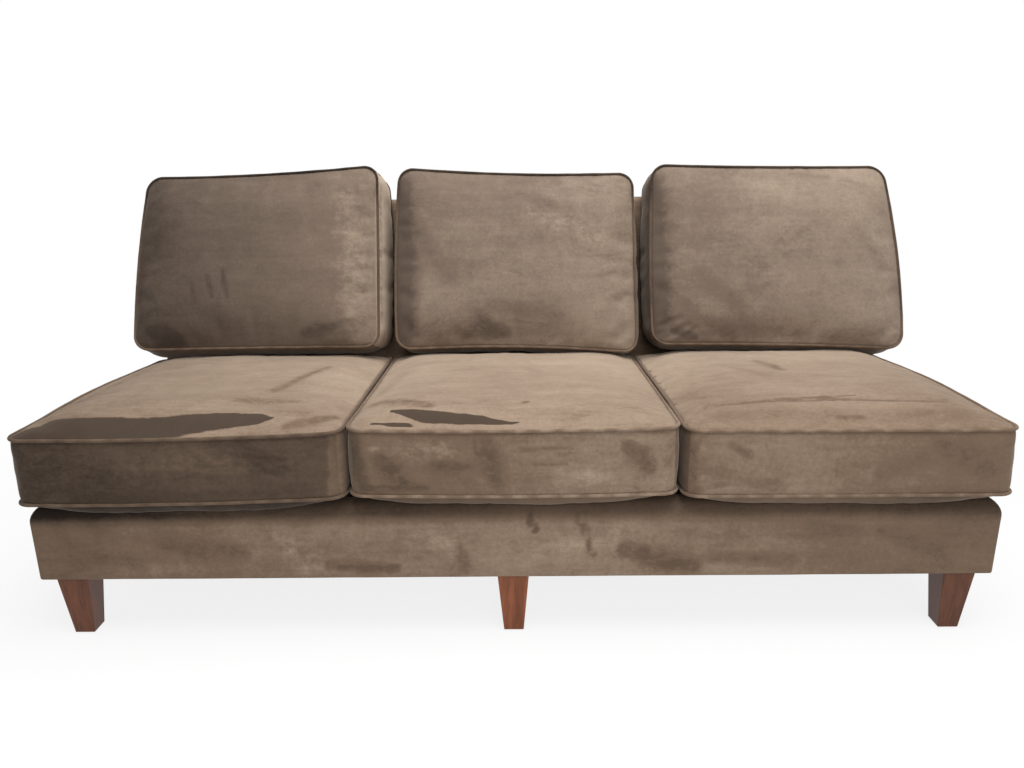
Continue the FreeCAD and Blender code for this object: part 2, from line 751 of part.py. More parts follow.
def save_frame():
    """Boards of the frame, with their screws."""
    front, rear, sides = base_boards()
    rails = {
        "front_rail": sloped_rail(-rail_outer_x, rail_outer_x, front_rail_y0, front_rail_y1),
        "rear_rail": sloped_rail(-rail_inner_x, rail_inner_x, rear_rail_y0, post_front_y),
        "left_side_rail": sloped_rail(-rail_outer_x, -rail_inner_x, front_rail_y1, post_front_y),
        "right_side_rail": sloped_rail(rail_inner_x, rail_outer_x, front_rail_y1, post_front_y),
    }
    cross_top_z = board_top_z + cross_rail_height
    cross = [box(x - ply / 2, x + ply / 2, front_rail_y1, rear_rail_y0, board_top_z, cross_top_z)
             for x in (-inner_post_x, inner_post_x)]
    blocks = [corner_block(x_sign, y, y_sign) for x_sign in (-1, 1)
              for y, y_sign in ((front_rail_y1, 1), (rear_rail_y0, -1))]
    posts = [back_post(x) for x in post_places]
    screws = frame_screws()
    for node, rail in rails.items():
        save(node, cut_all(rail, screws))
    save("corner_blocks", *[cut_all(b, screws) for b in blocks])
    save("left_back_post", cut_all(posts[0], screws))
    save("right_back_post", cut_all(posts[3], screws))
    save("inner_back_posts", *[cut_all(p, screws) for p in posts[1:3]])
    save("cross_rails", *cross)
    save("back_top_rail", top_rail())
    save("back_lower_rails", *lower_rails())
    save("frame_screws", *screws)
    leg_screws = [s for x, y in leg_places.values() for s in plate_screws(x, y)]
    holes = [boss_hole(x, y) for x, y in leg_places.values()]
    save("front_base_board", cut_all(front, holes + leg_screws))
    save("rear_base_board", cut_all(rear, holes + leg_screws))
    save("side_base_boards", *sides)
    save("leg_plate_screws", *leg_screws)


def save_legs():
    """Six legs with what fixes them."""
    for node, (x, y) in leg_places.items():
        save(node, leg(x, y))
    save("leg_plates", *[cut_all(leg_plate(x, y), plate_screws(x, y)) for x, y in leg_places.values()])
    save("leg_bolts", *[leg_bolt(x, y) for x, y in leg_places.values()])
    save("leg_glides", *[glide(x, y) for x, y in leg_places.values()])


def save_upholstery():
    """Springs, pads and covers fixed to the frame."""
    save("seat_springs", *[zigzag_spring(x) for x in spring_xs])
    save("spring_clips", *[spring_clip(x, y) for x in spring_xs for y in (spring_start, spring_end)])
    plate_room = plate_spaces()
    pieces = border_pieces()
    save("front_border_cover", cut_all(pieces["front"][0], plate_room))
    save("front_border_foam", pieces["front"][1])
    save("left_side_cover", cut_all(pieces["left"][0], plate_room))
    save("right_side_cover", cut_all(pieces["right"][0], plate_room))
    save("side_border_foam", pieces["left"][1], pieces["right"][1])
    save("deck_cloth", deck_layer(0.0, cover_t))
    save("deck_pad", deck_layer(cover_t, deck_pad_t))
    save("dust_cover", dust_cover())
    inside_cover, outside_cover, pad = back_pieces()
    save("inside_back_cover", inside_cover)
    save("outside_back_cover", outside_cover)
    save("back_pad", pad)
    save("left_back_end_cover", back_side_cover(-1))
    save("right_back_end_cover", back_side_cover(1))
    save("back_end_wadding", back_side_wadding(-1), back_side_wadding(1))
    save("back_straps", *back_straps())


def save_cushions():
    """Three seat cushions and three back cushions."""
    kinds = (("seat", seat_sizes, seat_piping_gap, seat_place),
             ("back", back_sizes, back_piping_gap, back_place))
    for kind, sizes, gap, place in kinds:
        for side, seat in seat_places.items():
            cover, core, pipings = cushion(sizes, gap, place(seat))
            save(f"{kind}_cushion_{side}_cover", cover)
            save(f"{kind}_cushion_{side}_core", core)
            save(f"{kind}_cushion_{side}_piping", *pipings)


os.makedirs("parts", exist_ok=True)
save_frame()
save_legs()
save_upholstery()
save_cushions()
print("inner back foot", round(back_foot_y, 2), "back cushion rise", round(back_rest_rise, 2))
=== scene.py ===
"""Looks of the armless sofa: brushed velvet, piped loose cushions, covered frame, stained legs."""

import json
import math

import bpy
import numpy as np
from mathutils import Matrix, Vector, noise
from mathutils.bvhtree import BVHTree


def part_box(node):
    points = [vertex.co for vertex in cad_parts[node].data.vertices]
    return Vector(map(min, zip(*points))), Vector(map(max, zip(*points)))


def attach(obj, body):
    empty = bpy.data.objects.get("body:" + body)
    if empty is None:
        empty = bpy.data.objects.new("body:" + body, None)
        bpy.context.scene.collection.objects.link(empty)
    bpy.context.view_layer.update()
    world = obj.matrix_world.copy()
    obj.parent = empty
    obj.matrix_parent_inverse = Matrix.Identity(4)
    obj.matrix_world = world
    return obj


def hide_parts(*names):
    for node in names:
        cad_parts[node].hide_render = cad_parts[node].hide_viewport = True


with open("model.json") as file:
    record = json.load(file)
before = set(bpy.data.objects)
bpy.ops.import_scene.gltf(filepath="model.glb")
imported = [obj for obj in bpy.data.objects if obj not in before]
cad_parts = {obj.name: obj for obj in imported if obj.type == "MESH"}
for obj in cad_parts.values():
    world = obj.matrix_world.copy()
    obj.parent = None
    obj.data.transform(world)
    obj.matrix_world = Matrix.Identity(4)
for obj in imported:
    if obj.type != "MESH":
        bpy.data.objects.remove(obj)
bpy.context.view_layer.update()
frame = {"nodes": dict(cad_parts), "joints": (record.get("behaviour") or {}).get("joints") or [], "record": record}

MM = 0.001
TINY = 1e-9
SIDES = ("left", "centre", "right")

# Cushion forms
CELL = 12.5 * MM
PIPING_RADIUS = 3.5 * MM
BOXING_ROWS = 10
SIDE_BULGE = 2 * MM
SEAT = {
    "corner": 32 * MM, "draw": 2.5 * MM, "flare": 0.0, "crown": 26 * MM, "under": 16 * MM,
    "belly": (3.5 * MM, 4 * MM), "gap": -1.5 * MM, "cap": 15 * MM, "boxing_cap": 3 * MM,
    "pressure": 3.2, "slack": 0.010,
}
BACK = {
    "corner": 36 * MM, "draw": 3 * MM, "flare": 0.0385, "crown": 32 * MM, "under": 12 * MM,
    "belly": (6 * MM, 10 * MM), "gap": -1.5 * MM, "cap": 19 * MM, "boxing_cap": 8 * MM,
    "pressure": 3.6, "slack": 0.02,
}

# How far each cushion's corners and the middles of its sides have settled, in millimetres:
# sideways, up or back along the panel, off the panel
SETTLED = {
    "seat_left": {"near_left": (-17, -1, -6), "near_right": (-2, 0, 3), "far_right": (-3, 0, 2),
                  "near": (0, 0, -6), "left": (-8, 0, 7)},
    "seat_centre": {"near_left": (-1, 0, 8), "near_right": (7, 0, 8), "far_left": (-2, 0, 2),
                    "far_right": (2, 0, 3), "near": (0, 0, -5), "right": (2, 0, 0)},
    "seat_right": {"near_left": (9, 0, 1), "near_right": (10, 0, -2), "far_left": (2, 0, 0),
                   "near": (0, 0, -1), "left": (2, 0, 0), "right": (7, 0, 8)},
    "back_left": {"near_left": (-17, 13, 0), "near_right": (-15, 16, 4), "far_left": (13, -9, 0),
                  "far_right": (4, 17, 0), "near": (0, -2, 0), "far": (0, -5, 0), "left": (-12, 0, 0),
                  "right": (4, 0, 0)},
    "back_centre": {"near_left": (17, 8, 0), "near_right": (4, -6, 0), "far_left": (12, 9, 0),
                    "far_right": (11, -12, 0), "near": (0, 8, 0), "far": (0, -6, 0), "left": (-10, 0, 0),
                    "right": (3, 0, 0)},
    "back_right": {"near_left": (30, 15, 6), "near_right": (36, -2, 0), "far_left": (13, 9, 0),
                   "far_right": (0, -3, 0), "near": (0, 1, 0), "left": (-10, 0, 0), "right": (17, 0, 0)},
}

# What the seam on a cushion's far side has settled beyond the one on its panel side
SETTLED_UNDER = {
    "back_left": {"near_left": (-3, -15, 0), "near_right": (9, -5, 0), "far_right": (6, 0, 0),
                  "right": (12, 0, 0)},
    "back_centre": {"right": (9, 0, 0), "near_right": (6, 0, 0), "left": (-4, 0, 0)},
    "back_right": {"near_right": (4, -11, 0), "left": (-4, 0, 0)},
    "seat_right": {"near_right": (6, 0, 2)},
}

# Frame upholstery
ROLL = 36 * MM
BORDER = 42 * MM
SHOULDER = 6 * MM
CLOTH = 1.6 * MM
OUTSIDE_LEAN = math.radians(9.5)
BACK_EDGE = 14 * MM
SPRING_PITCH = 160 * MM
PLAN_STEP = 12 * MM
HEM = 3 * MM
HEM_FOLD = 0.8 * MM
TURNED_IN = 22 * MM
TUCK = 4 * MM
LEG_LEVELS = 9

# Legs
LEG_FOOT = 42 * MM
LEG_EDGE = 1.6 * MM
# Painted shade: the front left and front right legs are darker than the others
LEG_SHADE = {"front_left_leg": 0.5, "front_right_leg": 0.4}

# Camera, at the photograph's viewing angle
CAMERA_AT = (18.8 * MM, -1901.4 * MM, 975.5 * MM)
CAMERA_YAW = -0.0111
CAMERA_PITCH = 0.2794
CAMERA_ROLL = 0.0125
FOCAL_PIXELS = 789.3
PHOTO_SIZE = (1024, 768)
SENSOR = 36.0


# Camera

def camera_axes():
    """Right, up and back directions of the camera."""
    cy, sy = math.cos(CAMERA_YAW), math.sin(CAMERA_YAW)
    cp, sp = math.cos(CAMERA_PITCH), math.sin(CAMERA_PITCH)
    cr, sr = math.cos(CAMERA_ROLL), math.sin(CAMERA_ROLL)
    level = Vector((cy, -sy, 0))
    forward = Vector((cp * sy, cp * cy, -sp))
    upright = Vector((sp * sy, sp * cy, cp))
    return cr * level - sr * upright, sr * level + cr * upright, -forward


def add_camera():
    """The camera, placed and turned as the photograph's was."""
    right, up, back = camera_axes()
    data = bpy.data.cameras.new("camera")
    data.sensor_width = SENSOR
    data.lens = SENSOR * FOCAL_PIXELS / PHOTO_SIZE[0]
    data.clip_end = 100
    camera = bpy.data.objects.new("camera", data)
    rows = [(right[i], up[i], back[i], CAMERA_AT[i]) for i in range(3)]
    camera.matrix_world = Matrix(rows + [(0, 0, 0, 1)])
    bpy.context.scene.collection.objects.link(camera)
    bpy.context.scene.camera = camera


# Shader maths

class Value:
    """A number that changes over a surface, with the usual arithmetic."""

    def __init__(self, shade, socket):
        self.shade, self.socket = shade, socket

    def _math(self, operation, *values, clamp=False):
        settings = {"operation": operation, "use_clamp": clamp}
        node = self.shade.node("ShaderNodeMath", settings, dict(enumerate(values)))
        return Value(self.shade, node.outputs[0])

    def __add__(self, other):
        return self._math("ADD", self, other)

    def __sub__(self, other):
        return self._math("SUBTRACT", self, other)

    def __rsub__(self, other):
        return self._math("SUBTRACT", other, self)

    def __mul__(self, other):
        return self._math("MULTIPLY", self, other)

    __radd__ = __add__
    __rmul__ = __mul__

    def clamped(self):
        """The value, held between 0 and 1."""
        return self._math("ADD", self, 0.0, clamp=True)

    def step(self, low, high):
        """A smooth step from 0 at low to 1 at high."""
        settings = {"interpolation_type": "SMOOTHSTEP"}
        sockets = {"Value": self, "From Min": low, "From Max": high}
        return Value(self.shade, self.shade.node("ShaderNodeMapRange", settings, sockets).outputs[0])


class Shade:
    """A procedural material and the nodes in it."""

    def __init__(self, name):
        self.material = bpy.data.materials.new(name)
        self.material.use_nodes = True
        self.tree = self.material.node_tree
        self.surface = self.tree.nodes["Principled BSDF"]

    def node(self, kind, settings=None, sockets=None):
        """A node with its settings, then the values or links of its sockets."""
        node = self.tree.nodes.new(kind)
        for key, value in (settings or {}).items():
            setattr(node, key, value)
        for key, value in (sockets or {}).items():
            value = value.socket if isinstance(value, Value) else value
            if isinstance(value, bpy.types.NodeSocket):
                self.tree.links.new(value, node.inputs[key])
            else:
                node.inputs[key].default_value = value
        return node

    def place(self, stretch=(1, 1, 1)):
        """Object coordinates in metres, stretched along the axes."""
        where = self.node("ShaderNodeTexCoord").outputs["Object"]
        return self.node("ShaderNodeMapping", None, {"Vector": where, "Scale": stretch}).outputs[0]

    def noise(self, scale, detail=3.0, rough=0.5, stretch=(1, 1, 1), warp=0.0):
        """Noise between about 0.25 and 0.75 whose grains are 1/scale metres."""
        sockets = {"Vector": self.place(stretch), "Scale": scale, "Detail": detail,
                   "Roughness": rough, "Distortion": warp}
        return Value(self, self.node("ShaderNodeTexNoise", None, sockets).outputs["Fac"])

    def painted(self, name):
        """A number stored on the mesh's points."""
        return Value(self, self.node("ShaderNodeAttribute", {"attribute_name": name}).outputs["Fac"])

    def mix(self, amount, first, second):
        """Colour between two colours."""
        sockets = {0: amount, 6: first, 7: second}
        return self.node("ShaderNodeMix", {"data_type": "RGBA"}, sockets).outputs[2]

    def bump(self, height, distance, strength=1.0):
        """Normals that follow a height."""
        sockets = {"Height": height, "Distance": distance, "Strength": strength}
        return self.node("ShaderNodeBump", None, sockets).outputs[0]

    def finish(self, constants, colour=None, roughness=None, normal=None):
        """Sets the surface's constant sockets and links what changes over it."""
        for key, value in constants.items():
            self.surface.inputs[key].default_value = value
        for key, value in (("Base Color", colour), ("Roughness", roughness), ("Normal", normal)):
            if value is not None:
                socket = value.socket if isinstance(value, Value) else value
                self.tree.links.new(socket, self.surface.inputs[key])
        return self.material


# Finishes

VELVET_DARK = (0.026, 0.018, 0.0135, 1)
VELVET_MID = (0.175, 0.119, 0.081, 1)
# Painted light: the back cushions' velvet is greyer than the seats' to stand in for the cooler light falling on
# them from above
BACK_VELVET_MID_COOL_LIT = (0.175, 0.130, 0.099, 1)
VELVET_LIGHT = (0.500, 0.396, 0.298, 1)

# Grains of the nap: grains per metre, detail, roughness, stretch, warp, then their shares in the
# tone and in the ragged edges of the marks
GRAINS = {
    "broad": (2.6, 3, 0.50, (1, 1, 1), 0.0, 0.24, 0.00),
    "ragged": (21, 8, 0.70, (1, 1, 1), 0.5, 0.18, 0.35),
    "flecked": (62, 6, 0.72, (0.7, 1.1, 1.1), 0.4, 0.10, 0.70),
    "stroked": (12, 8, 0.70, (0.30, 1.5, 1.5), 0.4, 0.22, 0.35),
    "across": (34, 5, 0.65, (0.16, 2.4, 2.4), 0.2, 0.11, 0.20),
    "upright": (34, 5, 0.65, (2.2, 2.2, 0.2), 0.2, 0.07, 0.15),
    "nap": (150, 3, 0.60, (1, 1, 1), 0.0, 0.16, 0.00),
}
MARK_REACH = 2.4
MARK_RAGGED = 1.7
DARKER, LIGHTER, STREAKED, SMUDGED = 0.46, 0.15, 0.80, 0.06
STREAK_FRAY = {"ragged": 0.45, "across": 0.4, "nap": 0.2}
PILE_HEIGHTS = {"nap": 0.8, "ragged": 1.5}
SMUDGE = (7.5, 8, 0.72, (0.7, 1.3, 1.3), 0.6)
PILE = (900, 2, 0.6)


def velvet(name, mid=VELVET_MID):
    """Brushed velvet: tone painted on the mesh, ragged brush marks, mottled nap and a short pile; the painted tone
    and marks hold painted light and shade as well.
    """
    shade = Shade(name)
    grain, level, edge = {}, shade.painted("tone"), 0.0
    for kind, (*form, tone_share, edge_share) in GRAINS.items():
        grain[kind] = shade.noise(*form) - 0.5
        level = level + grain[kind] * tone_share
        if edge_share:
            edge = edge + grain[kind] * edge_share
    frayed = sum(grain[kind] * share for kind, share in STREAK_FRAY.items())
    streak = (shade.painted("streak") + frayed).step(0.40, 0.56)
    smudge = (shade.noise(*SMUDGE) + edge * 0.3).step(0.555, 0.625)
    # dark and light hold brushed nap marks together with painted shade and painted highlights
    dark, light = shade.painted("dark"), shade.painted("light")
    edge = edge * MARK_RAGGED
    darker = (dark + edge * (dark * MARK_REACH).clamped()).step(0.06, 0.62) * DARKER
    lighter = (light + edge * (light * MARK_REACH).clamped()).step(0.10, 0.70) * LIGHTER
    level = level - smudge * SMUDGED + lighter
    level = (level * (1 - darker) * (1 - streak * STREAKED)).clamped()
    low = shade.mix((level * 2).clamped(), VELVET_DARK, mid)
    colour = shade.mix((level * 2 - 1).clamped(), low, VELVET_LIGHT)
    height = shade.noise(*PILE) * 0.5 + sum(grain[kind] * share for kind, share in PILE_HEIGHTS.items())
    normal = shade.bump(height, 0.4 * MM, 0.5)
    constants = {"Roughness": 0.92, "Specular IOR Level": 0.12, "Sheen Weight": 0.35,
                 "Sheen Roughness": 0.38, "Sheen Tint": (0.80, 0.68, 0.58, 1)}
    return shade.finish(constants, colour=colour, normal=normal)


def stained_wood():
    """Reddish brown stain over a straight grain that runs up the leg, under a satin coat."""
    shade = Shade("leg_stain")
    grain = shade.noise(60, 6, 0.65, (1, 1, 0.07), 1.2)
    pores = shade.noise(420, 3, 0.6, (1, 1, 0.04)).step(0.52, 0.7)
    colour = shade.mix(grain.step(0.3, 0.7), (0.150, 0.042, 0.014, 1), (0.290, 0.092, 0.036, 1))
    colour = shade.mix(pores * 0.40, colour, (0.06, 0.016, 0.006, 1))
    # Painted shade, stored as the leg's tone, darkens the front left and front right legs
    colour = shade.mix(shade.painted("tone"), (0.02, 0.008, 0.005, 1), colour)
    normal = shade.bump(grain * 0.5 - pores * 0.5, 0.15 * MM, 0.5)
    constants = {"Coat Weight": 0.12, "Coat Roughness": 0.3, "Specular IOR Level": 0.25}
    return shade.finish(constants, colour=colour, roughness=grain * 0.15 + 0.36, normal=normal)


def woven(name, first, second, threads=700):
    """Plain weave cloth: two threads crossing."""
    shade = Shade(name)
    sockets = {"Vector": shade.place(), "Scale": threads, "Distortion": 0.4}
    across, along = (shade.node("ShaderNodeTexWave", {"bands_direction": way}, sockets) for way in "XY")
    slub = shade.noise(40, 4, 0.6)
    weave = Value(shade, across.outputs["Fac"]) * Value(shade, along.outputs["Fac"])
    colour = shade.mix((weave * 0.6 + slub * 0.6).clamped(), first, second)
    return shade.finish({"Roughness": 0.95, "Specular IOR Level": 0.1}, colour=colour,
                        normal=shade.bump(weave, 0.2 * MM, 0.6))


def grained(name, grain, edges, low, high, constants, relief=None, roughness=None):
    """Plain stuff mottled between two colours by one fine grain."""
    shade = Shade(name)
    marks = shade.noise(*grain)
    colour = shade.mix(marks.step(*edges), low, high)
    normal = shade.bump(marks, *relief) if relief else None
    rough = marks * roughness[0] + roughness[1] if roughness else None
    return shade.finish(constants, colour=colour, roughness=rough, normal=normal)


def filling(name, low, high):
    """Foam or fibre filling with a fine open texture."""
    return grained(name, (320, 4, 0.7), (0.3, 0.7), low, high, {"Roughness": 1.0}, (0.5 * MM, 0.6))


def worn_steel(name, low, high):
    """Plain or plated steel with faint drawing marks."""
    grain = (260, 4, 0.6, (0.3, 1, 1))
    return grained(name, grain, (0.3, 0.7), low, high, {"Metallic": 1.0}, roughness=(0.25, 0.25))


def frame_timber():
    """Pale unfinished boards with a long grain."""
    grain = (30, 5, 0.6, (0.08, 1, 1), 1.0)
    return grained("frame_timber", grain, (0.3, 0.7), (0.48, 0.33, 0.19, 1), (0.70, 0.54, 0.36, 1),
                   {"Roughness": 0.75}, (0.2 * MM, 0.4))


def moulded_nylon():
    """Off-white moulded nylon, scuffed by the floor."""
    return grained("glide_nylon", (180, 5, 0.7), (0.45, 0.75), (0.62, 0.60, 0.54, 1),
                   (0.40, 0.38, 0.34, 1), {"Specular IOR Level": 0.4}, roughness=(0.3, 0.3))


FINISH = {
    "seat_velvet": velvet("seat_velvet"),
    "back_velvet": velvet("back_velvet", BACK_VELVET_MID_COOL_LIT),
    "frame_velvet": velvet("frame_velvet"),
    "piping_velvet": velvet("piping_velvet"),
    "leg_wood": stained_wood(),
    "frame_wood": frame_timber(),
    "lining_cloth": woven("lining_cloth", (0.022, 0.021, 0.021, 1), (0.07, 0.066, 0.062, 1)),
    "webbing": woven("webbing", (0.16, 0.12, 0.08, 1), (0.42, 0.36, 0.26, 1), 500),
    "cushion_fill": filling("cushion_fill", (0.66, 0.63, 0.54, 1), (0.86, 0.84, 0.77, 1)),
    "padding": filling("padding", (0.70, 0.69, 0.64, 1), (0.90, 0.89, 0.85, 1)),
    "spring_wire": worn_steel("spring_wire", (0.16, 0.16, 0.17, 1), (0.34, 0.34, 0.35, 1)),
    "plated_steel": worn_steel("plated_steel", (0.42, 0.42, 0.43, 1), (0.68, 0.68, 0.70, 1)),
    "glide_nylon": moulded_nylon(),
}


def dress_frame_nodes():
    """Gives every carried-over node its finish."""
    for part in frame["record"]["subparts"]:
        mesh = frame["nodes"][part["node"]].data
        mesh.materials.clear()
        mesh.materials.append(FINISH[part["material_slot"]])


# Nap of the velvet, with painted light and shade among its tones and marks, in millimetres on a cushion's flat
# sheets and on the base's front

# Tones from dark 0 to light 1: the panel at its four corners, then the boxing by side. Besides the velvet's own
# uneven tone they hold painted light and shade: seat tops lighter where the nap catches the light, fronts and
# shaded sides darker, the left back cushion's right side lighter where it is lit
TONES = {
    "seat_left": {"panel": (0.5, 0.66, 0.7, 0.77), "near": (0.12, 0.24),
                  "left": 0.26, "right": 0.5, "far": 0.4},
    "seat_centre": {"panel": (0.66, 0.62, 0.82, 0.82), "near": (0.46, 0.58),
                    "left": 0.4, "right": 0.4, "far": 0.4},
    "seat_right": {"panel": (0.56, 0.54, 0.84, 0.83), "near": (0.58, 0.47),
                   "left": 0.3, "right": 0.4, "far": 0.4},
    "back_left": {"panel": (0.18, 0.62, 0.22, 0.54), "near": 0.4,
                  "left": 0.2, "right": 1.0, "far": 0.4},
    "back_centre": {"panel": (0.56, 0.68, 0.48, 0.55), "near": 0.4,
                    "left": 0.4, "right": 0.3, "far": 0.4},
    "back_right": {"panel": (0.54, 0.66, 0.52, 0.62), "near": 0.42,
                   "left": 0.2, "right": 0.4, "far": 0.45},
}
# Painted shade: how much darker a cushion's underside is below its lower seam
UNDERSIDE_SHADE = -0.22

# Tones of the frame's velvet at its left end, middle and right end, and of the roll above it, which is painted
# shadow under the seat cushions' overhang
FRAME_TONES = (0.47, 0.60, 0.41)
ROLL_SHADOW_TONES = (0.0, 0.32, 0.18)

# Tones of the piping along a cushion's near edge, its sides and its far edge: painted shade, darkest along the
# back cushions' top seams
PIPING_SHADE_TONES = {
    "seat_left": (0.30, 0.40, 0.4), "seat_centre": (0.54, 0.50, 0.4), "seat_right": (0.50, 0.46, 0.4),
    "back_left": (0.40, 0.26, 0.06), "back_centre": (0.44, 0.32, 0.10), "back_right": (0.40, 0.26, 0.10),
}

# Velvet laid the other way with a clear edge: paths of places with half widths, by piece and sheet
STREAKS = {
    ("seat_left", "panel"): [
        ((-304, -328, 18), (-250, -313, 37), (-90, -311, 37), (4, -297, 38), (50, -291, 31),
         (100, -288, 27), (150, -290, 19), (182, -289, 3)),
    ],
    ("seat_centre", "panel"): [
        ((-246, -278, 3), (-200, -291, 15), (-172, -302, 19), (-99, -306, 17), (-60, -310, 13),
         (-32, -315, 8), (14, -318, 2)), ((-276, -324, 3), (-230, -327, 6), (-184, -326, 2)),
    ],
}

# Softer marks: brushed nap marks, and among them painted shade in dark bands down the left edges of panels and
# seat fronts and along the back cushions' lower edges, and painted highlights down a corner of the left and of the
# centre seat front and on the left back cushion's right side: strength (lighter below zero), then a path as above
NAP_AND_SHADE_MARKS = {
    ("seat_left", "panel"): [
        (0.35, (140, -120, 16), (170, -20, 14), (206, 90, 12)),
        (0.3, (78, -188, 12), (150, -196, 16), (208, -203, 10)),
        (0.4, (224, -318, 16), (262, -300, 18), (296, -266, 12)),
        (0.25, (-290, -240, 20), (-250, 60, 30), (-270, 240, 20)),
    ],
    ("seat_left", "near"): [
        (0.45, (140, 32, 5), (180, 26, 6), (218, 20, 4)), (0.45, (156, 17, 4), (216, 8, 4)),
        (0.4, (150, 0, 5), (208, -9, 4)), (-1.0, (313, 56, 9), (311, 0, 8), (306, -56, 9)),
        (-0.35, (-90, 14, 20), (20, 22, 30), (140, 8, 20)), (0.35, (-200, -52, 12), (250, -46, 14)),
    ],
    ("seat_centre", "panel"): [
        (0.36, (-290, -205, 16), (-230, -232, 24), (-172, -258, 16)),
        (0.22, (-292, -120, 18), (-268, 60, 24)), (0.6, (22, -240, 5), (28, -237, 5)),
        (0.22, (150, -248, 5), (262, -275, 6)),
    ],
    ("seat_centre", "near"): [
        (0.55, (-312, 50, 14), (-306, 0, 17), (-296, -46, 15)), (-0.5, (-268, 34, 9), (-262, 0, 9)),
        (0.5, (-262, 12, 14), (-236, -18, 24), (-214, -34, 14)),
        (0.5, (-284, -52, 7), (-230, -47, 8), (-172, -48, 5)),
        (0.5, (-154, 2, 7), (-120, -3, 10), (-84, -4, 6)), (0.4, (-75, 52, 4), (-70, 20, 5)),
        (0.4, (-54, 50, 14), (-44, 6, 26), (-30, -34, 16)),
        (0.45, (222, 34, 12), (244, 12, 22), (266, -12, 12)), (0.3, (16, 30, 5), (110, 35, 5)),
        (0.3, (40, 2, 4), (104, 2, 4)), (-0.35, (-200, 30, 18), (-130, 34, 20)),
        (-0.3, (100, -20, 30), (180, -30, 24)),
    ],
    ("seat_right", "panel"): [
        (0.4, (-248, -247, 4), (-131, -237, 7), (-7, -228, 7), (107, -240, 5), (216, -240, 3)),
        (0.4, (-108, -226, 4), (-20, -216, 5), (49, -211, 3)),
        (0.35, (-58, 112, 12), (-44, 60, 18), (-34, 10, 12)),
        (0.36, (-14, -300, 9), (8, -302, 12), (30, -300, 8)), (0.22, (-160, 70, 18), (-90, -40, 20)),
        (0.32, (140, -296, 9), (172, -290, 8)), (0.2, (-240, -300, 30), (0, -290, 30), (230, -300, 26)),
    ],
    ("seat_right", "near"): [
        (0.36, (-318, 56, 11), (-311, 0, 13), (-304, -52, 11)), (0.35, (-236, 40, 9), (-204, 20, 10)),
        (0.35, (166, 38, 16), (214, 16, 28), (264, -14, 18)), (0.25, (50, -24, 14), (136, 12, 20)),
    ],
    ("back_left", "panel"): [
        (0.4, (-118, -36, 4), (-110, -70, 8), (-103, -98, 5)),
        (0.5, (-79, -20, 3), (-72, -60, 7), (-64, -98, 4)), (0.35, (-156, -54, 5), (-147, -110, 8)),
        (0.75, (-276, -190, 14), (-236, -202, 27), (-196, -210, 14)),
        (0.3, (-306, 140, 18), (-304, -150, 22)), (0.45, (132, -198, 14), (168, -192, 20), (204, -182, 12)),
        (0.4, (146, 200, 7), (157, 192, 8)), (0.3, (254, 200, 6), (259, 168, 8)),
        (0.25, (-150, -120, 16), (-90, -150, 26), (-30, -160, 16)),
        (-0.3, (230, 150, 34), (256, -40, 40), (256, -160, 34)),
    ],
    ("back_left", "right"): [
        (0.35, (190, 52, 8), (60, 56, 9), (-170, 54, 7)),
    ],
    ("back_centre", "panel"): [
        (0.88, (-304, 190, 26), (-300, 0, 34), (-302, -190, 26)),
        (0.5, (-132, -200, 14), (-84, -188, 24), (-28, -196, 14)), (0.25, (-250, 70, 24), (-170, -50, 30)),
        (-0.35, (40, 130, 20), (210, 60, 26)), (0.16, (-205, 208, 16), (-60, 202, 16)),
        (0.28, (10, 176, 12), (96, 148, 14)), (0.22, (-60, -120, 20), (120, -150, 24)),
    ],
    ("back_right", "panel"): [
        (0.9, (-310, 190, 25), (-308, 0, 32), (-308, -180, 25)), (0.25, (60, 214, 9), (150, 206, 9)),
        (0.5, (-274, -202, 10), (-246, -210, 14), (-218, -216, 9)),
        (0.24, (-130, -196, 22), (70, -206, 20)), (0.24, (116, -212, 18), (256, -196, 20)),
        (0.22, (-196, -54, 22), (-116, -124, 26)), (0.2, (200, 66, 20), (262, -26, 22)),
    ],
    ("frame", "front"): [
        (0.8, (33, 280, 4), (38, 262, 6), (50, 242, 4)), (0.45, (128, 278, 6), (150, 240, 9)),
        (0.45, (150, 232, 5), (163, 186, 6)), (0.35, (-110, 212, 10), (-98, 160, 14)),
        (0.5, (232, 200, 14), (300, 178, 24), (370, 162, 16)),
        (0.5, (-380, 170, 8), (-310, 162, 13), (-240, 160, 8)),
        (0.35, (-720, 220, 18), (-640, 205, 30), (-560, 198, 18)), (0.22, (-932, 260, 12), (-900, 166, 20)),
        (0.35, (410, 182, 12), (570, 174, 14)), (0.28, (750, 236, 18), (870, 192, 24)),
        (0.35, (600, 250, 14), (700, 236, 14)), (-0.4, (-480, 240, 16), (-420, 166, 22)),
        (-0.35, (-210, 232, 20), (-110, 214, 24)), (-0.3, (60, 210, 30), (200, 226, 24)),
        (0.3, (-860, 190, 14), (-780, 176, 16)),
    ],
}

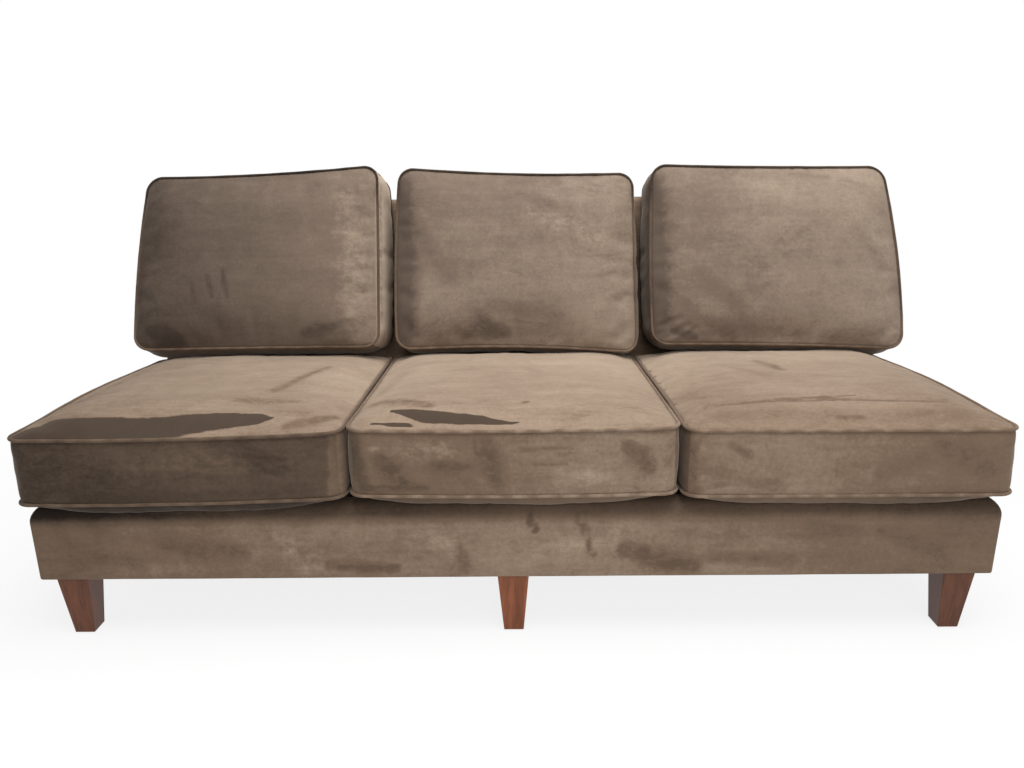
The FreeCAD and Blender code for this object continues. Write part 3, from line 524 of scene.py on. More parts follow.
# Creases pressed into a panel: from, to, half width, depth
CREASES = {
    "seat_right": [((-250, -249), (-131, -238), 7, 2.2), ((-131, -238), (-7, -230), 7, 2.6),
                   ((-7, -230), (216, -242), 8, 1.8), ((-108, -227), (49, -212), 6, 1.6)]
                  + [((-318, 150 - 62 * k), (-262 + 6 * (k % 3), 118 - 62 * k), 7, 3.0) for k in range(7)]
                  + [((-316, -290), (-262, -232), 7, 2.6), ((-300, -318), (-240, -262), 7, 2.2)],
    "seat_centre": [((150, -252), (262, -277), 6, 1.6), ((170, -228), (268, -246), 6, 1.4),
                    ((-312, -60), (-262, -84), 8, 1.8), ((-312, -150), (-256, -176), 8, 1.8)],
    "seat_left": [((300, -60), (240, -40), 8, 1.4), ((300, 60), (238, 76), 8, 1.4)],
    "back_left": [((-116, -42), (-104, -96), 6, 1.2), ((-78, -26), (-64, -96), 6, 1.4)],
    "back_centre": [((-305, 90), (-262, 84), 7, 1.6), ((300, -120), (256, -100), 8, 1.8)],
    "back_right": [((62, 232), (76, 178), 6, 2.2), ((100, 232), (108, 184), 6, 2.0),
                   ((136, 232), (146, 176), 6, 2.0), ((-306, -190), (-250, -168), 6, 2.4),
                   ((-290, -222), (-232, -186), 6, 2.4),
                   ((-262, -232), (-214, -196), 6, 2.0)],
}
STREAK_REACH = 1.5
MARK_FADE = 0.55


def off_stroke(places, start, end):
    """Distance of places from a straight stroke, and how far along it they are."""
    start, run = np.array(start, float), np.subtract(end, start).astype(float)
    along = np.clip((places - start) @ run / (run @ run), 0, 1)
    return np.linalg.norm(places - start - along[:, None] * run, axis=1), along


def off_path(places, path):
    """Distance of places from a path, in the path's half widths."""
    nearest = np.full(len(places), 9.0)
    for first, second in zip(path, path[1:]):
        off, along = off_stroke(places, first[:2], second[:2])
        nearest = np.minimum(nearest, off / (first[2] + (second[2] - first[2]) * along))
    return nearest


def paint(obj, tone, sheets=None, key=None):
    """Stores tone, streaks and softer marks on an object's points, painted light and shade among them."""
    count = len(obj.data.vertices)
    fields = {"tone": tone, "streak": 0.0, "dark": 0.0, "light": 0.0}
    for sheet, (share, places) in (sheets or {}).items():
        for path in STREAKS.get((key, sheet), ()):
            mark = np.clip(STREAK_REACH - off_path(places / MM, path), 0, 1) * share
            fields["streak"] = np.maximum(fields["streak"], mark)
        for strength, *path in NAP_AND_SHADE_MARKS.get((key, sheet), ()):
            kind = "dark" if strength > 0 else "light"
            mark = abs(strength) * np.exp(-MARK_FADE * off_path(places / MM, path) ** 2) * share
            fields[kind] = np.maximum(fields[kind], mark)
    for name, values in fields.items():
        attribute = obj.data.attributes.new(name, "FLOAT", "POINT")
        attribute.data.foreach_set("value", np.broadcast_to(values, count).astype(np.float32))


# Meshes

def mesh_points(obj):
    """Points of a mesh as an array."""
    points = np.zeros(len(obj.data.vertices) * 3)
    obj.data.vertices.foreach_get("co", points)
    return points.reshape(-1, 3)


def set_points(obj, points):
    """Moves the points of a mesh."""
    obj.data.vertices.foreach_set("co", np.asarray(points, float).ravel())
    obj.data.update()


def new_piece(name, points, faces, smooth=True):
    """Object made of points and faces."""
    mesh = bpy.data.meshes.new(name)
    mesh.from_pydata([tuple(p) for p in np.asarray(points, float)], [], faces)
    mesh.polygons.foreach_set("use_smooth", [smooth] * len(mesh.polygons))
    mesh.update()
    obj = bpy.data.objects.new(name, mesh)
    bpy.context.scene.collection.objects.link(obj)
    return obj


def sharpen(obj, loops):
    """Keeps closed loops of points sharp when the mesh is rounded."""
    wanted = {frozenset(pair) for loop in loops for pair in zip(loop, loop[1:] + loop[:1])}
    crease = obj.data.attributes.new("crease_edge", "FLOAT", "EDGE")
    for edge in obj.data.edges:
        if frozenset(edge.vertices) in wanted:
            crease.data[edge.index].value = 1.0


def bake(obj):
    """Applies an object's modifiers to its mesh."""
    bpy.context.view_layer.update()
    solved = obj.evaluated_get(bpy.context.evaluated_depsgraph_get())
    mesh = bpy.data.meshes.new_from_object(solved)
    mesh.name = obj.name
    obj.modifiers.clear()
    obj.data = mesh


def grid_faces(rows, columns, closed=False, looped=False):
    """Quads between the points of a grid, row by row; closed joins its sides, looped its ends."""
    faces = []
    for r in range(rows if looped else rows - 1):
        this, after = r * columns, (r + 1) % rows * columns
        for c in range(columns if closed else columns - 1):
            beside = (c + 1) % columns
            faces.append((this + c, this + beside, after + beside, after + c))
    return faces


def wobble(points, size, amount, seed):
    """Smooth noise at each point, up to that amount, for grains of that size."""
    shift = Vector((seed * 7.13, seed * 3.71, seed * 5.37))
    return np.array([noise.noise(Vector(p) / size + shift) for p in points]) * amount


def set_piece(obj, body, slot, replaced):
    """Gives a piece its finish and its place in the frame."""
    obj.data.materials.clear()
    obj.data.materials.append(FINISH[slot])
    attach(obj, body)
    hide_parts(*replaced)


# Cushions, each worked out flat: u across, v along its panel, w off it

BOXES = {}


def box(node):
    """Low and high corners of a node, looked up once."""
    if node not in BOXES:
        BOXES[node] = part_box(node)
    return BOXES[node]


def joint_axis(name):
    """Direction of a joint, from the frame."""
    return np.array(next(j["axis"] for j in frame["joints"] if j["name"] == name))


def flat_axes(kind):
    """Columns u, v and w of the frame that a cushion is worked out in."""
    u = np.array([1.0, 0.0, 0.0])
    v = -joint_axis("seat_cushion_left_slide") if kind == "seat" else joint_axis("back_cushion_left_lift")
    return np.stack([u, v, np.cross(u, v)], 1)


def flat_box(node, axes):
    """Lowest and highest flat coordinates of a node."""
    flat = mesh_points(frame["nodes"][node]) @ axes
    return flat.min(0), flat.max(0)


class Cushion:
    """Sizes and place of one cushion, read from the frame's piping and cover."""

    def __init__(self, kind, side):
        self.kind, self.side, self.key = kind, side, f"{kind}_{side}"
        self.body = f"{kind}_cushion_{side}"
        self.form = SEAT if kind == "seat" else BACK
        self.axes = flat_axes(kind)
        low, high = flat_box(self.body + "_piping", self.axes)
        self.centre = (low + high) / 2
        out = 2 * PIPING_RADIUS + self.form["gap"]
        self.half_v = (high[1] - low[1]) / 2 - out
        self.half_u = (high[0] - low[0]) / 2 - out - self.form["flare"] * self.half_v
        self.seam_low = low[2] + PIPING_RADIUS - self.centre[2]
        self.seam_high = high[2] - PIPING_RADIUS - self.centre[2]

    def placed(self, flat):
        """Flat points, settled and put in the frame."""
        return (self.settled(flat) + self.centre) @ self.axes.T

    def shares(self, flat):
        """How far across and along the cushion flat points lie, from 0 to 1."""
        return (np.clip(flat[:, 0] / self.half_u / 2 + 0.5, 0, 1),
                np.clip(flat[:, 1] / self.half_v / 2 + 0.5, 0, 1))

    def settled(self, flat):
        """Moves flat points as the cushion's corners have settled."""
        across, along = self.shares(flat)
        along = along if self.kind == "back" else along * along * (3 - 2 * along)
        bow_u, bow_v = 4 * across * (1 - across), 4 * along * (1 - along)
        share = {"near_left": (1 - across) * (1 - along), "near_right": across * (1 - along),
                 "far_left": (1 - across) * along, "far_right": across * along,
                 "near": bow_u * (1 - along), "far": bow_u * along,
                 "left": bow_v * (1 - across), "right": bow_v * across}
        depth = np.clip((self.seam_high - flat[:, 2]) / (self.seam_high - self.seam_low), 0, 1)
        moved = flat.copy()
        for corner, offset in SETTLED[self.key].items():
            moved += share[corner][:, None] * np.array(offset) * MM
        for corner, offset in SETTLED_UNDER.get(self.key, {}).items():
            moved += (depth * share[corner])[:, None] * np.array(offset) * MM
        return moved

    def shaped(self, a, b, out=0.0):
        """Outline shape: unit square coordinates to u and v, with corners rounded and sides drawn in."""
        half_u, half_v = self.half_u + out, self.half_v + out
        corner = self.form["corner"] + out
        u, v = a * half_u, b * half_v
        past_u = (np.abs(u) - (half_u - corner)) / corner
        past_v = (np.abs(v) - (half_v - corner)) / corner
        in_corner = (past_u > 0) & (past_v > 0)
        reach = np.maximum(past_u, past_v) / np.maximum(np.hypot(past_u, past_v), TINY)
        u = np.where(in_corner, np.sign(u) * (half_u - corner + past_u * reach * corner), u)
        v = np.where(in_corner, np.sign(v) * (half_v - corner + past_v * reach * corner), v)
        draw = self.form["draw"]
        drawn_u = u - np.sign(u) * draw * np.abs(a) * (1 - b * b)
        drawn_v = v - np.sign(v) * draw * np.abs(b) * (1 - a * a)
        return drawn_u * (1 - self.form["flare"] * drawn_v / half_u), drawn_v


def rim_order(columns, rows):
    """Grid places round the rim of a panel, anticlockwise, as (row, column)."""
    front = [(0, c) for c in range(columns)]
    right = [(r, columns - 1) for r in range(1, rows)]
    rear = [(rows - 1, c) for c in range(columns - 2, -1, -1)]
    left = [(r, 0) for r in range(rows - 2, 0, -1)]
    return front + right + rear + left


def facing_out(ring):
    """Outward directions along a closed ring of flat places, anticlockwise."""
    ahead = np.roll(ring, -1, 0) - np.roll(ring, 1, 0)
    return np.stack([ahead[:, 1], -ahead[:, 0]], 1) / np.linalg.norm(ahead, axis=1)[:, None]


# How far a seat's underside hangs in front of the base, by the distance back from its near seam
DROOP_AT = (0, 6 * MM, 13 * MM, 20 * MM, 30 * MM, 42 * MM, 60 * MM)
DROOP_BY = (0, 11 * MM, 17 * MM, 19 * MM, 16 * MM, 7 * MM, 0)


def overhang_droop(c, u, v):
    """How far a seat's underside hangs down in front of the base's roll."""
    if c.kind == "back":
        return 0 * u
    inward = np.clip(1 - (u / c.half_u) ** 4, 0, 1)
    return np.interp(v + c.half_v, DROOP_AT, DROOP_BY) * inward


# A sewn cover before it is filled: share of its crown, how square that is, and its boxing's swell
SEWN_SHARE = 0.75
DOME_SQUARE, DOME_SOFT = 6, 0.6
BOXING_SWELL = 0.45


def cushion_mesh(c):
    """Flat points, faces, rim places and panel marks of a cushion before it is filled."""
    columns = round(2 * c.half_u / CELL) + 1
    rows = round(2 * c.half_v / CELL) + 1
    a, b = np.meshgrid(np.linspace(-1, 1, columns), np.linspace(-1, 1, rows))
    a, b = a.ravel(), b.ravel()
    u, v = c.shaped(a, b)
    rise = (1 - a ** DOME_SQUARE) ** DOME_SOFT * (1 - b ** DOME_SQUARE) ** DOME_SOFT
    high = np.stack([u, v, c.seam_high + c.form["crown"] * SEWN_SHARE * rise], 1)
    under = c.form["under"] * SEWN_SHARE * rise + overhang_droop(c, u, v)
    low = np.stack([u, v, c.seam_low - under], 1)
    rim = [r * columns + k for r, k in rim_order(columns, rows)]
    edge = np.stack([u[rim], v[rim]], 1)
    outward = facing_out(edge)
    rings = []
    for k in range(1, BOXING_ROWS):
        share = k / BOXING_ROWS
        swell = (4 * share * (1 - share)) ** BOXING_SWELL
        ring = edge + outward * c.form["belly"] * swell
        height = c.seam_high + (c.seam_low - c.seam_high) * share
        rings.append(np.column_stack([ring, np.full(len(rim), height)]))
    points = np.concatenate([high, low] + rings)
    count, base = len(high), len(high) + len(low)
    faces = grid_faces(rows, columns)
    faces += [tuple(count + i for i in reversed(face)) for face in grid_faces(rows, columns)]
    loops = [rim] + [[base + k * len(rim) + i for i in range(len(rim))] for k in range(BOXING_ROWS - 1)]
    loops.append([count + i for i in rim])
    for upper, lower in zip(loops, loops[1:]):
        faces += [(upper[i], lower[i], lower[(i + 1) % len(rim)], upper[(i + 1) % len(rim)])
                  for i in range(len(rim))]
    return points, faces, loops


COVER_CLOTH = {
    "quality": 6, "mass": 0.25, "tension_stiffness": 22, "compression_stiffness": 16, "shear_stiffness": 7,
    "bending_stiffness": 0.35, "vertex_group_mass": "seams", "use_pressure": True,
}
FILL_FRAMES = 21


def fill(name, points, faces, pinned, form, panels):
    """Swells a sewn cover with its filling, by cloth simulation with the seams held."""
    obj = new_piece(name, points, faces)
    group = obj.vertex_groups.new(name="seams")
    group.add(sorted(pinned), 1.0, "REPLACE")
    cloth = obj.modifiers.new("cover", "CLOTH")
    for key, value in COVER_CLOTH.items():
        setattr(cloth.settings, key, value)
    cloth.settings.uniform_pressure_force = form["pressure"]
    cloth.settings.shrink_min = -form["slack"]
    cloth.settings.effector_weights.gravity = 0
    cloth.point_cache.frame_start, cloth.point_cache.frame_end = 1, FILL_FRAMES + 3
    for step in range(1, FILL_FRAMES + 1):
        bpy.context.scene.frame_set(step)
    bake(obj)
    moved = mesh_points(obj) - points
    length = np.linalg.norm(moved, axis=1)[:, None]
    boxing = np.arange(len(points)) >= panels
    cap = np.where(boxing, form["boxing_cap"], form["cap"])[:, None]
    moved *= cap * np.tanh(length / cap) / np.maximum(length, TINY)
    bpy.data.objects.remove(obj)
    bpy.context.scene.frame_set(1)
    return points + moved


# Piping: places along it and round it; then grain size and amount of its rise, sway and swelling
PIPING_GRID = (420, 12)
PIPING_RISE, PIPING_SWAY, PIPING_SWELL = (0.09, 0.9 * MM), (0.06, 0.5 * MM), (0.03, 0.09)
# Painted sheen: a ripple of tone along the near piping
PIPING_PAINTED_SHEEN = 0.06


def seam_tube(c, name, height, seed):
    """Piping round a seam, with the small waver of a sewn cord."""
    count, sides = PIPING_GRID
    turn = np.linspace(0, 1, count, endpoint=False) * 8
    edge = np.clip(np.abs((turn + 1) % 8 - 4) - 2, -1, 1)
    other = np.clip(np.abs((turn + 7) % 8 - 4) - 2, -1, 1)
    u, v = c.shaped(edge, other, PIPING_RADIUS + c.form["gap"])
    centre = np.stack([u, v, np.full(count, height)], 1)
    centre[:, 2] += wobble(centre, *PIPING_RISE, seed)
    off = np.column_stack([facing_out(centre[:, :2]), np.zeros(count)])
    centre += off * wobble(centre, *PIPING_SWAY, seed + 1)[:, None]
    radius = PIPING_RADIUS * (1 + wobble(centre, *PIPING_SWELL, seed + 2))
    angles = [2 * math.pi * k / sides for k in range(sides)]
    spokes = [math.cos(t) * off + math.sin(t) * np.array([0, 0, 1]) for t in angles]
    points = np.stack([centre + radius[:, None] * spoke for spoke in spokes], 1).reshape(-1, 3)
    faces = grid_faces(count, sides, closed=True, looped=True)
    obj = new_piece(name, resting(c, c.placed(points)), faces)
    across, along = points[:, 0] / c.half_u, points[:, 1] / c.half_v
    up_share = np.clip(along * 3 - 1.4, 0, 1)
    near_share = np.clip(-along * 3 - 1.4, 0, 1)
    # Painted shade that changes from the near edge to the sides and the far edge, with a painted sheen rippling
    # along the near edge
    low, side, high = PIPING_SHADE_TONES[c.key]
    tone = side + (low - side) * near_share + (high - side) * up_share
    return obj, tone + PIPING_PAINTED_SHEEN * np.sin(40 * across) * near_share


def full_sides(points, loops):
    """Keeps the boxing from falling inside the line between its two seams."""
    first, last = points[loops[0]], points[loops[-1]]
    out = facing_out(first[:, :2])
    fuller = points.copy()
    for k, loop in enumerate(loops):
        share = k / (len(loops) - 1)
        line = first * (1 - share) + last * share
        off = ((points[loop] - line)[:, :2] * out).sum(1)
        least = 4 * share * (1 - share) * SIDE_BULGE
        fuller[loop, :2] += (np.maximum(off, least) - off)[:, None] * out
    return fuller


# Hollows of a filled panel and gathers beside its seams: grain size, height
HOLLOWS = ((0.16, 4.5 * MM), (0.07, 1.6 * MM))
GATHERS = (0.022, 1.3 * MM)
HOLLOW_EDGE = 30 * MM
GATHER_EDGE, GATHER_REACH = 6 * MM, 55 * MM


def relaxed(points, c, seed):
    """Adds soft hollows to a filled cushion's panels and small gathers beside its seams."""
    u, v, w = points.T
    to_seam = np.minimum(c.half_u - np.abs(u), c.half_v - np.abs(v))
    on_panel = np.clip(to_seam / HOLLOW_EDGE, 0, 1)
    soft = wobble(points, *HOLLOWS[0], seed) + wobble(points, *HOLLOWS[1], seed + 3)
    gather = wobble(np.stack([u, v, w * 0.2], 1), *GATHERS, seed + 5)
    near_seam = np.clip(to_seam / GATHER_EDGE, 0, 1) * np.clip(1 - to_seam / GATHER_REACH, 0, 1)
    moved = points.copy()
    moved[:, 2] += np.sign(w) * (on_panel * soft + near_seam * gather)
    return moved


# Gaps left where a cushion rests; straight share of its side seams; how high and from how far
# above the seats are looked for below a back cushion
REST_GAP = 1.5 * MM
SIDE_GAP = 0.8 * MM
SEAM_STRAIGHT = 0.85
SEAT_REACH = 560 * MM
DROP = 200 * MM
SEATS = []


def seam_line(c, sign, along):
    """Where a cushion's left (-1) or right (1) seam lies sideways, at places up its panel."""
    straight = np.clip(along / c.half_v, -SEAM_STRAIGHT, SEAM_STRAIGHT)
    u, v = c.shaped(np.full(len(along), float(sign)), straight)
    return c.settled(np.stack([u, along, 0 * u], 1))[:, 0] + c.centre[0]


def between_neighbours(c, points):
    """Presses a cushion's sides flat where they meet the next cushion."""
    x = points[:, 0].copy()
    along = (points @ c.axes)[:, 1] - c.centre[1]
    place = SIDES.index(c.side)
    for sign in (-1, 1):
        if 0 <= place + sign < len(SIDES):
            other = Cushion(c.kind, SIDES[place + sign])
            middle = (seam_line(c, sign, along) + seam_line(other, -sign, along)) / 2
            limited = sign * np.minimum(sign * x, sign * middle - SIDE_GAP)
            x = np.where(sign * (x - c.centre[0]) > 0, limited, x)
    return np.stack([x, points[:, 1], points[:, 2]], 1)


def above_seats(points):
    """Lifts points that would sink into the seat cushions below them."""
    lifted = points.copy()
    for k, (x, y, z) in enumerate(points):
        for tree in SEATS:
            above = Vector((x, y, z + DROP))
            hit = tree.ray_cast(above, Vector((0, 0, -1)), DROP + REST_GAP)[0]
            if hit is not None:
                lifted[k, 2] = max(lifted[k, 2], hit.z + REST_GAP)
    return lifted


def resting(c, points):
    """Flattens a cushion where it meets its neighbours, the deck and roll, or the inside back."""
    points = between_neighbours(c, points)
    if c.kind == "back":
        low = points[:, 2] < SEAT_REACH
        points[low] = above_seats(points[low])
    x, y, z = points.T.copy()
    if c.kind == "seat":
        front = box("front_border_cover")[0].y
        ahead = np.clip(front + ROLL - y, 0, ROLL)
        support = deck_height(y) - ROLL + np.sqrt(ROLL ** 2 - ahead ** 2) + REST_GAP
        z = np.where(y > front - 1 * MM, np.maximum(z, support), z)
    else:
        y = np.minimum(y, inside_depth(z) - REST_GAP)
    return np.stack([x, y, z], 1)


SHEET_BLEND = 1.5 * MM


def cushion_sheets(c, flat):
    """Where points lie on the panel and on each boxing side, and how much they belong to it."""
    u, v, w = flat.T
    panel = np.clip((w - c.seam_high) / SHEET_BLEND + 0.5, 0, 1)
    across, along = u / c.half_u, v / c.half_v
    near = (along < -np.abs(across)) * (1 - panel)
    far = (along > np.abs(across)) * (1 - panel)
    left = (across <= -np.abs(along)) * (1 - panel)
    right = (across >= np.abs(along)) * (1 - panel)
    level, upright = np.stack([u, w], 1), np.stack([v, w], 1)
    return {"panel": (panel, np.stack([u, v], 1)), "near": (near, level), "far": (far, level),
            "left": (left, upright), "right": (right, upright)}


def cushion_tone(c, flat, sheets):
    """Tone of a cushion's points from the tones of its corners and sides, with painted shade on its underside."""
    across, along = c.shares(flat)
    tone = 0.0
    for sheet, value in TONES[c.key].items():
        if sheet == "panel":
            near = value[0] + (value[1] - value[0]) * across
            value = near + (value[2] + (value[3] - value[2]) * across - near) * along
        elif isinstance(value, tuple):
            value = value[0] + (value[1] - value[0]) * across
        tone = tone + value * sheets[sheet][0]
    # Painted shade on the underside, below the lower seam
    return np.clip(tone + UNDERSIDE_SHADE * (flat[:, 2] < c.seam_low - 1 * MM), 0, 1)


CREASE_LIP = 0.45
LIP_AT = 1.9
LIP_NARROWER = 1.6


def creased(c, flat):
    """Presses the named creases into a cushion's panel, with a low lip along each side."""
    moved = flat.copy()
    for start, end, half_width, depth in CREASES[c.key]:
        off = off_stroke(flat[:, :2] / MM, start, end)[0] / half_width
        groove = np.exp(-off ** 2) - CREASE_LIP * np.exp(-(off - LIP_AT) ** 2 * LIP_NARROWER)
        moved[:, 2] -= np.where(flat[:, 2] > c.seam_high + 2 * MM, depth * MM * groove, 0)
    return moved


def make_cushion(kind, side, seed):
    """One velvet cushion and its two pipings."""
    c = Cushion(kind, side)
    points, faces, loops = cushion_mesh(c)
    pinned = set(loops[0]) | set(loops[-1])
    points = fill(c.body + "_sewn", points, faces, pinned, c.form, loops[1][0])
    points = full_sides(relaxed(points, c, seed), loops)
    obj = new_piece(c.body + "_velvet", points, faces)
    sharpen(obj, (loops[0], loops[-1]))
    obj.modifiers.new("rounder", "SUBSURF").levels = 1
    bake(obj)
    flat = creased(c, mesh_points(obj))
    set_points(obj, resting(c, c.placed(flat)))
    if kind == "seat":
        SEATS.append(BVHTree.FromPolygons([tuple(p) for p in mesh_points(obj)],
                                          [tuple(f.vertices) for f in obj.data.polygons]))
    sheets = cushion_sheets(c, flat)
    paint(obj, cushion_tone(c, flat, sheets), sheets, c.key)
    set_piece(obj, c.body, kind + "_velvet", (c.body + "_cover", c.body + "_core"))
    for place, height in (("front", c.seam_high), ("rear", c.seam_low)):
        tube, tone = seam_tube(c, f"{c.body}_piping_{place}", height, seed + 11)
        paint(tube, tone)
        set_piece(tube, c.body, "piping_velvet", (c.body + "_piping",))


# Frame upholstery

# Waves of a covered panel: grain size and share; then the rolls over which the roll's painted shadow comes in
LONG_WAVES, SHORT_WAVES = (0.17, 0.5), (0.05, 0.16)
ROLL_SHADOW_FROM, ROLL_SHADOW_OVER = 1.15, 0.5


def shell(name, grid, slot_name, replaced, seed, wave=1.2 * MM, outward=(0, -1, 0)):
    """Cloth panel over a grid of points, slightly waved, with its thickness."""
    rows, columns = grid.shape[:2]
    obj = new_piece(name, grid.reshape(-1, 3), grid_faces(rows, columns))
    normals = np.zeros(len(obj.data.vertices) * 3)
    obj.data.vertices.foreach_get("normal", normals)
    normals = normals.reshape(-1, 3)
    if np.mean(normals @ np.array(outward)) < 0:
        obj.data.flip_normals()
        normals = -normals
    points = mesh_points(obj)
    waved = 0.5 + wobble(points, *LONG_WAVES, seed) + wobble(points, *SHORT_WAVES, seed + 2)
    set_points(obj, points + normals * (waved * wave)[:, None])
    thick = obj.modifiers.new("cloth", "SOLIDIFY")
    thick.thickness, thick.offset = CLOTH, -1
    bake(obj)
    x, y, z = mesh_points(obj).T
    low, high = box("front_border_cover")
    front = (y < low.y + ROLL) * 1.0
    # Painted shadow on the front's roll, under the overhanging seat cushions
    roll_shadow = np.clip((z - high.z + ROLL_SHADOW_FROM * ROLL) / (ROLL_SHADOW_OVER * ROLL), 0, 1) * front
    ends = (low.x, 0, high.x)
    tone = np.interp(x, ends, FRAME_TONES)
    tone = tone + (np.interp(x, ends, ROLL_SHADOW_TONES) - tone) * roll_shadow
    paint(obj, tone, {"front": (front, np.stack([x, z], 1))}, "frame")
    set_piece(obj, "frame", slot_name, replaced)
    return obj


def deck_height(y):
    """Height of the deck at a depth, from the frame."""
    low, high = box("front_border_cover")
    axis = joint_axis("seat_cushion_left_slide")
    return high.z + (y - low.y) * axis[2] / axis[1]


def base_border():
    """Velvet round the seat frame: lip, upright face, soft roll and border, in one length."""
    low, high = box("front_border_cover")
    rear = box("left_side_cover")[1].y
    half, front = high.x, low.y
    plan = [(-half, y) for y in np.arange(rear, front + SHOULDER, -PLAN_STEP)]
    turn = [math.pi + math.pi / 2 * k / 6 for k in range(7)]
    pivot = (-half + SHOULDER, front + SHOULDER)
    left = [(pivot[0] + SHOULDER * math.cos(t), pivot[1] + SHOULDER * math.sin(t)) for t in turn]
    across = [(x, front) for x in np.linspace(-half + SHOULDER, half - SHOULDER, 165)[1:-1]]
    plan = plan + left + across + [(-x, y) for x, y in reversed(left)] + [(-x, y) for x, y in reversed(plan)]
    hem = low.z + HEM
    profile = [(TURNED_IN, low.z, 0), (HEM, low.z, 0), (HEM_FOLD, low.z + HEM_FOLD, 0), (0, hem, 0)]
    profile += [(0, hem, share) for share in np.linspace(0, 1, 12)[1:]]
    arc = [math.pi / 2 * k / 8 for k in range(1, 9)]
    profile += [(ROLL - ROLL * math.cos(t), None, ROLL * math.sin(t) - ROLL) for t in arc]
    profile += [(BORDER, None, 0), (BORDER, None, -16 * MM)]
    rows = []
    for inset, height, extra in profile:
        row = []
        for x, y in plan:
            px = x * (half - inset) / half
            py = rear - (rear - y) * (rear - front - inset) / (rear - front)
            top = deck_height(py)
            z = top + extra if height is None else height + extra * (top - ROLL - height)
            row.append((px, py, z))
        rows.append(row)
    shell("base_border_velvet", np.array(rows), "frame_velvet",
          ("front_border_cover", "left_side_cover", "right_side_cover"), 3)


def deck_panel():
    """Lining cloth across the springs, drawn down a little between them."""
    low, high = box("deck_cloth")
    xs = np.linspace(low.x, high.x, 130)
    ys = np.linspace(low.y, high.y, 46)
    dips = [(0.5 + 0.3 * math.cos(2 * math.pi * x / SPRING_PITCH)) * MM for x in xs]
    rows = [[(x, y, deck_height(y) - dip) for x, dip in zip(xs, dips)] for y in ys]
    shell("deck_lining", np.array(rows), "lining_cloth", ("deck_cloth",), 9, 0.2 * MM, (0, 0, 1))


def inside_depth(z):
    """Depth of the inside back at a height."""
    low = box("inside_back_cover")[0]
    lift = joint_axis("back_cushion_left_lift")
    return low.y + (z - low.z) * lift[1] / lift[2]


def outside_depth(z):
    """Depth of the outside back at a height."""
    high = box("outside_back_cover")[1]
    return high.y + (z - high.z) * math.tan(OUTSIDE_LEAN)


def unit(vector):
    """Direction of a vector."""
    return vector / np.linalg.norm(vector)


def rounded_corner(before, corner, after, radius, steps=7):
    """Points of a rounded corner of a side view."""
    corner = np.array(corner, float)
    into, out = unit(np.subtract(before, corner)), unit(np.subtract(after, corner))
    half_angle = math.acos(np.clip(into @ out, -1, 1)) / 2
    reach = radius / math.tan(half_angle)
    start, end = corner + into * reach, corner + out * reach
    middle = corner + unit(into + out) * radius / math.sin(half_angle)
    blends = [start - middle + (end - start) * k / steps for k in range(steps + 1)]
    return [tuple(middle + unit(blend) * radius) for blend in blends]


def back_wrap():
    """Velvet up the inside back and over its top to the rear seam."""
    low, high = box("inside_back_cover")
    top = high.z
    seam = box("outside_back_cover")[1].z
    foot = (inside_depth(low.z), low.z)
    near, far = (inside_depth(top), top), (outside_depth(top), top)
    side = [(inside_depth(z), z) for z in np.linspace(low.z, top - 22 * MM, 34)]
    side += rounded_corner(foot, near, far, BACK_EDGE)
    side += [(y, top) for y in np.linspace(near[0] + 22 * MM, far[0] - 20 * MM, 4)]
    side += rounded_corner(near, far, (outside_depth(seam), seam), BACK_EDGE)
    side += [(outside_depth(seam), seam)]
    xs = np.linspace(low.x, high.x, 150)
    shell("inside_back_velvet", np.array([[(x, y, z) for x in xs] for y, z in side]), "frame_velvet",
          ("inside_back_cover",), 17)


def tucked(edge):
    """How far a panel's face is drawn in at a distance from its edge."""
    return CLOTH * max(0.0, 1 - edge / TUCK) ** 2


def close_ended(low, high, count, fine):
    """Even places from low to high with finer ones inward from both ends."""
    inward = np.array((0, *fine)) * MM
    return np.concatenate([low + inward, np.linspace(low, high, count)[2:-2], high - inward[::-1]])


def outside_panel():
    """Velvet panel down the outside back, its edges turned in."""
    low, high = box("outside_back_cover")
    xs = close_ended(low.x, high.x, 150, (0.6, 2, 5))
    zs = close_ended(low.z, high.z, 60, (1, 4))
    rows = []
    for z in zs:
        row = []
        for x in xs:
            edge = min(x - low.x, high.x - x, z - low.z, high.z - z)
            row.append((x, outside_depth(z) - tucked(edge), z))
        rows.append(row)
    shell("outside_back_velvet", np.array(rows), "frame_velvet", ("outside_back_cover",), 23,
          1.4 * MM, (0, 1, 0))


def end_panel(side, sign):
    """Velvet end of the back, down to the underside."""
    node = f"{side}_back_end_cover"
    low, high = box(node)
    deck = box("inside_back_cover")[0].z
    top = high.z
    outer = high.x if sign > 0 else low.x
    shares = np.concatenate([[0, 0.008, 0.03], np.linspace(0.08, 0.92, 14), [0.97, 0.992, 1]])
    zs = np.concatenate([[low.z, low.z + 1 * MM, low.z + 4 * MM],
                         np.linspace(low.z + 15 * MM, top - BACK_EDGE, 56),
                         top - BACK_EDGE + BACK_EDGE * np.sin(np.linspace(0, math.pi / 2, 8)[1:])])
    rows = []
    for z in zs:
        over = max(0.0, z - (top - BACK_EDGE)) / BACK_EDGE
        turn = BACK_EDGE * (1 - math.sqrt(max(0.0, 1 - over * over)))
        near = inside_depth(max(z, deck)) + turn
        far = outside_depth(z) - turn
        row = []
        for share in shares:
            edge = min(share, 1 - share) * (far - near)
            edge = min(edge, z - low.z, top - z + 2 * MM)
            row.append((outer - sign * tucked(edge), near + share * (far - near), z))
        rows.append(row)
    shell(f"{side}_end_velvet", np.array(rows), "frame_velvet", (node,), 29 + sign, 1.2 * MM, (sign, 0, 0))


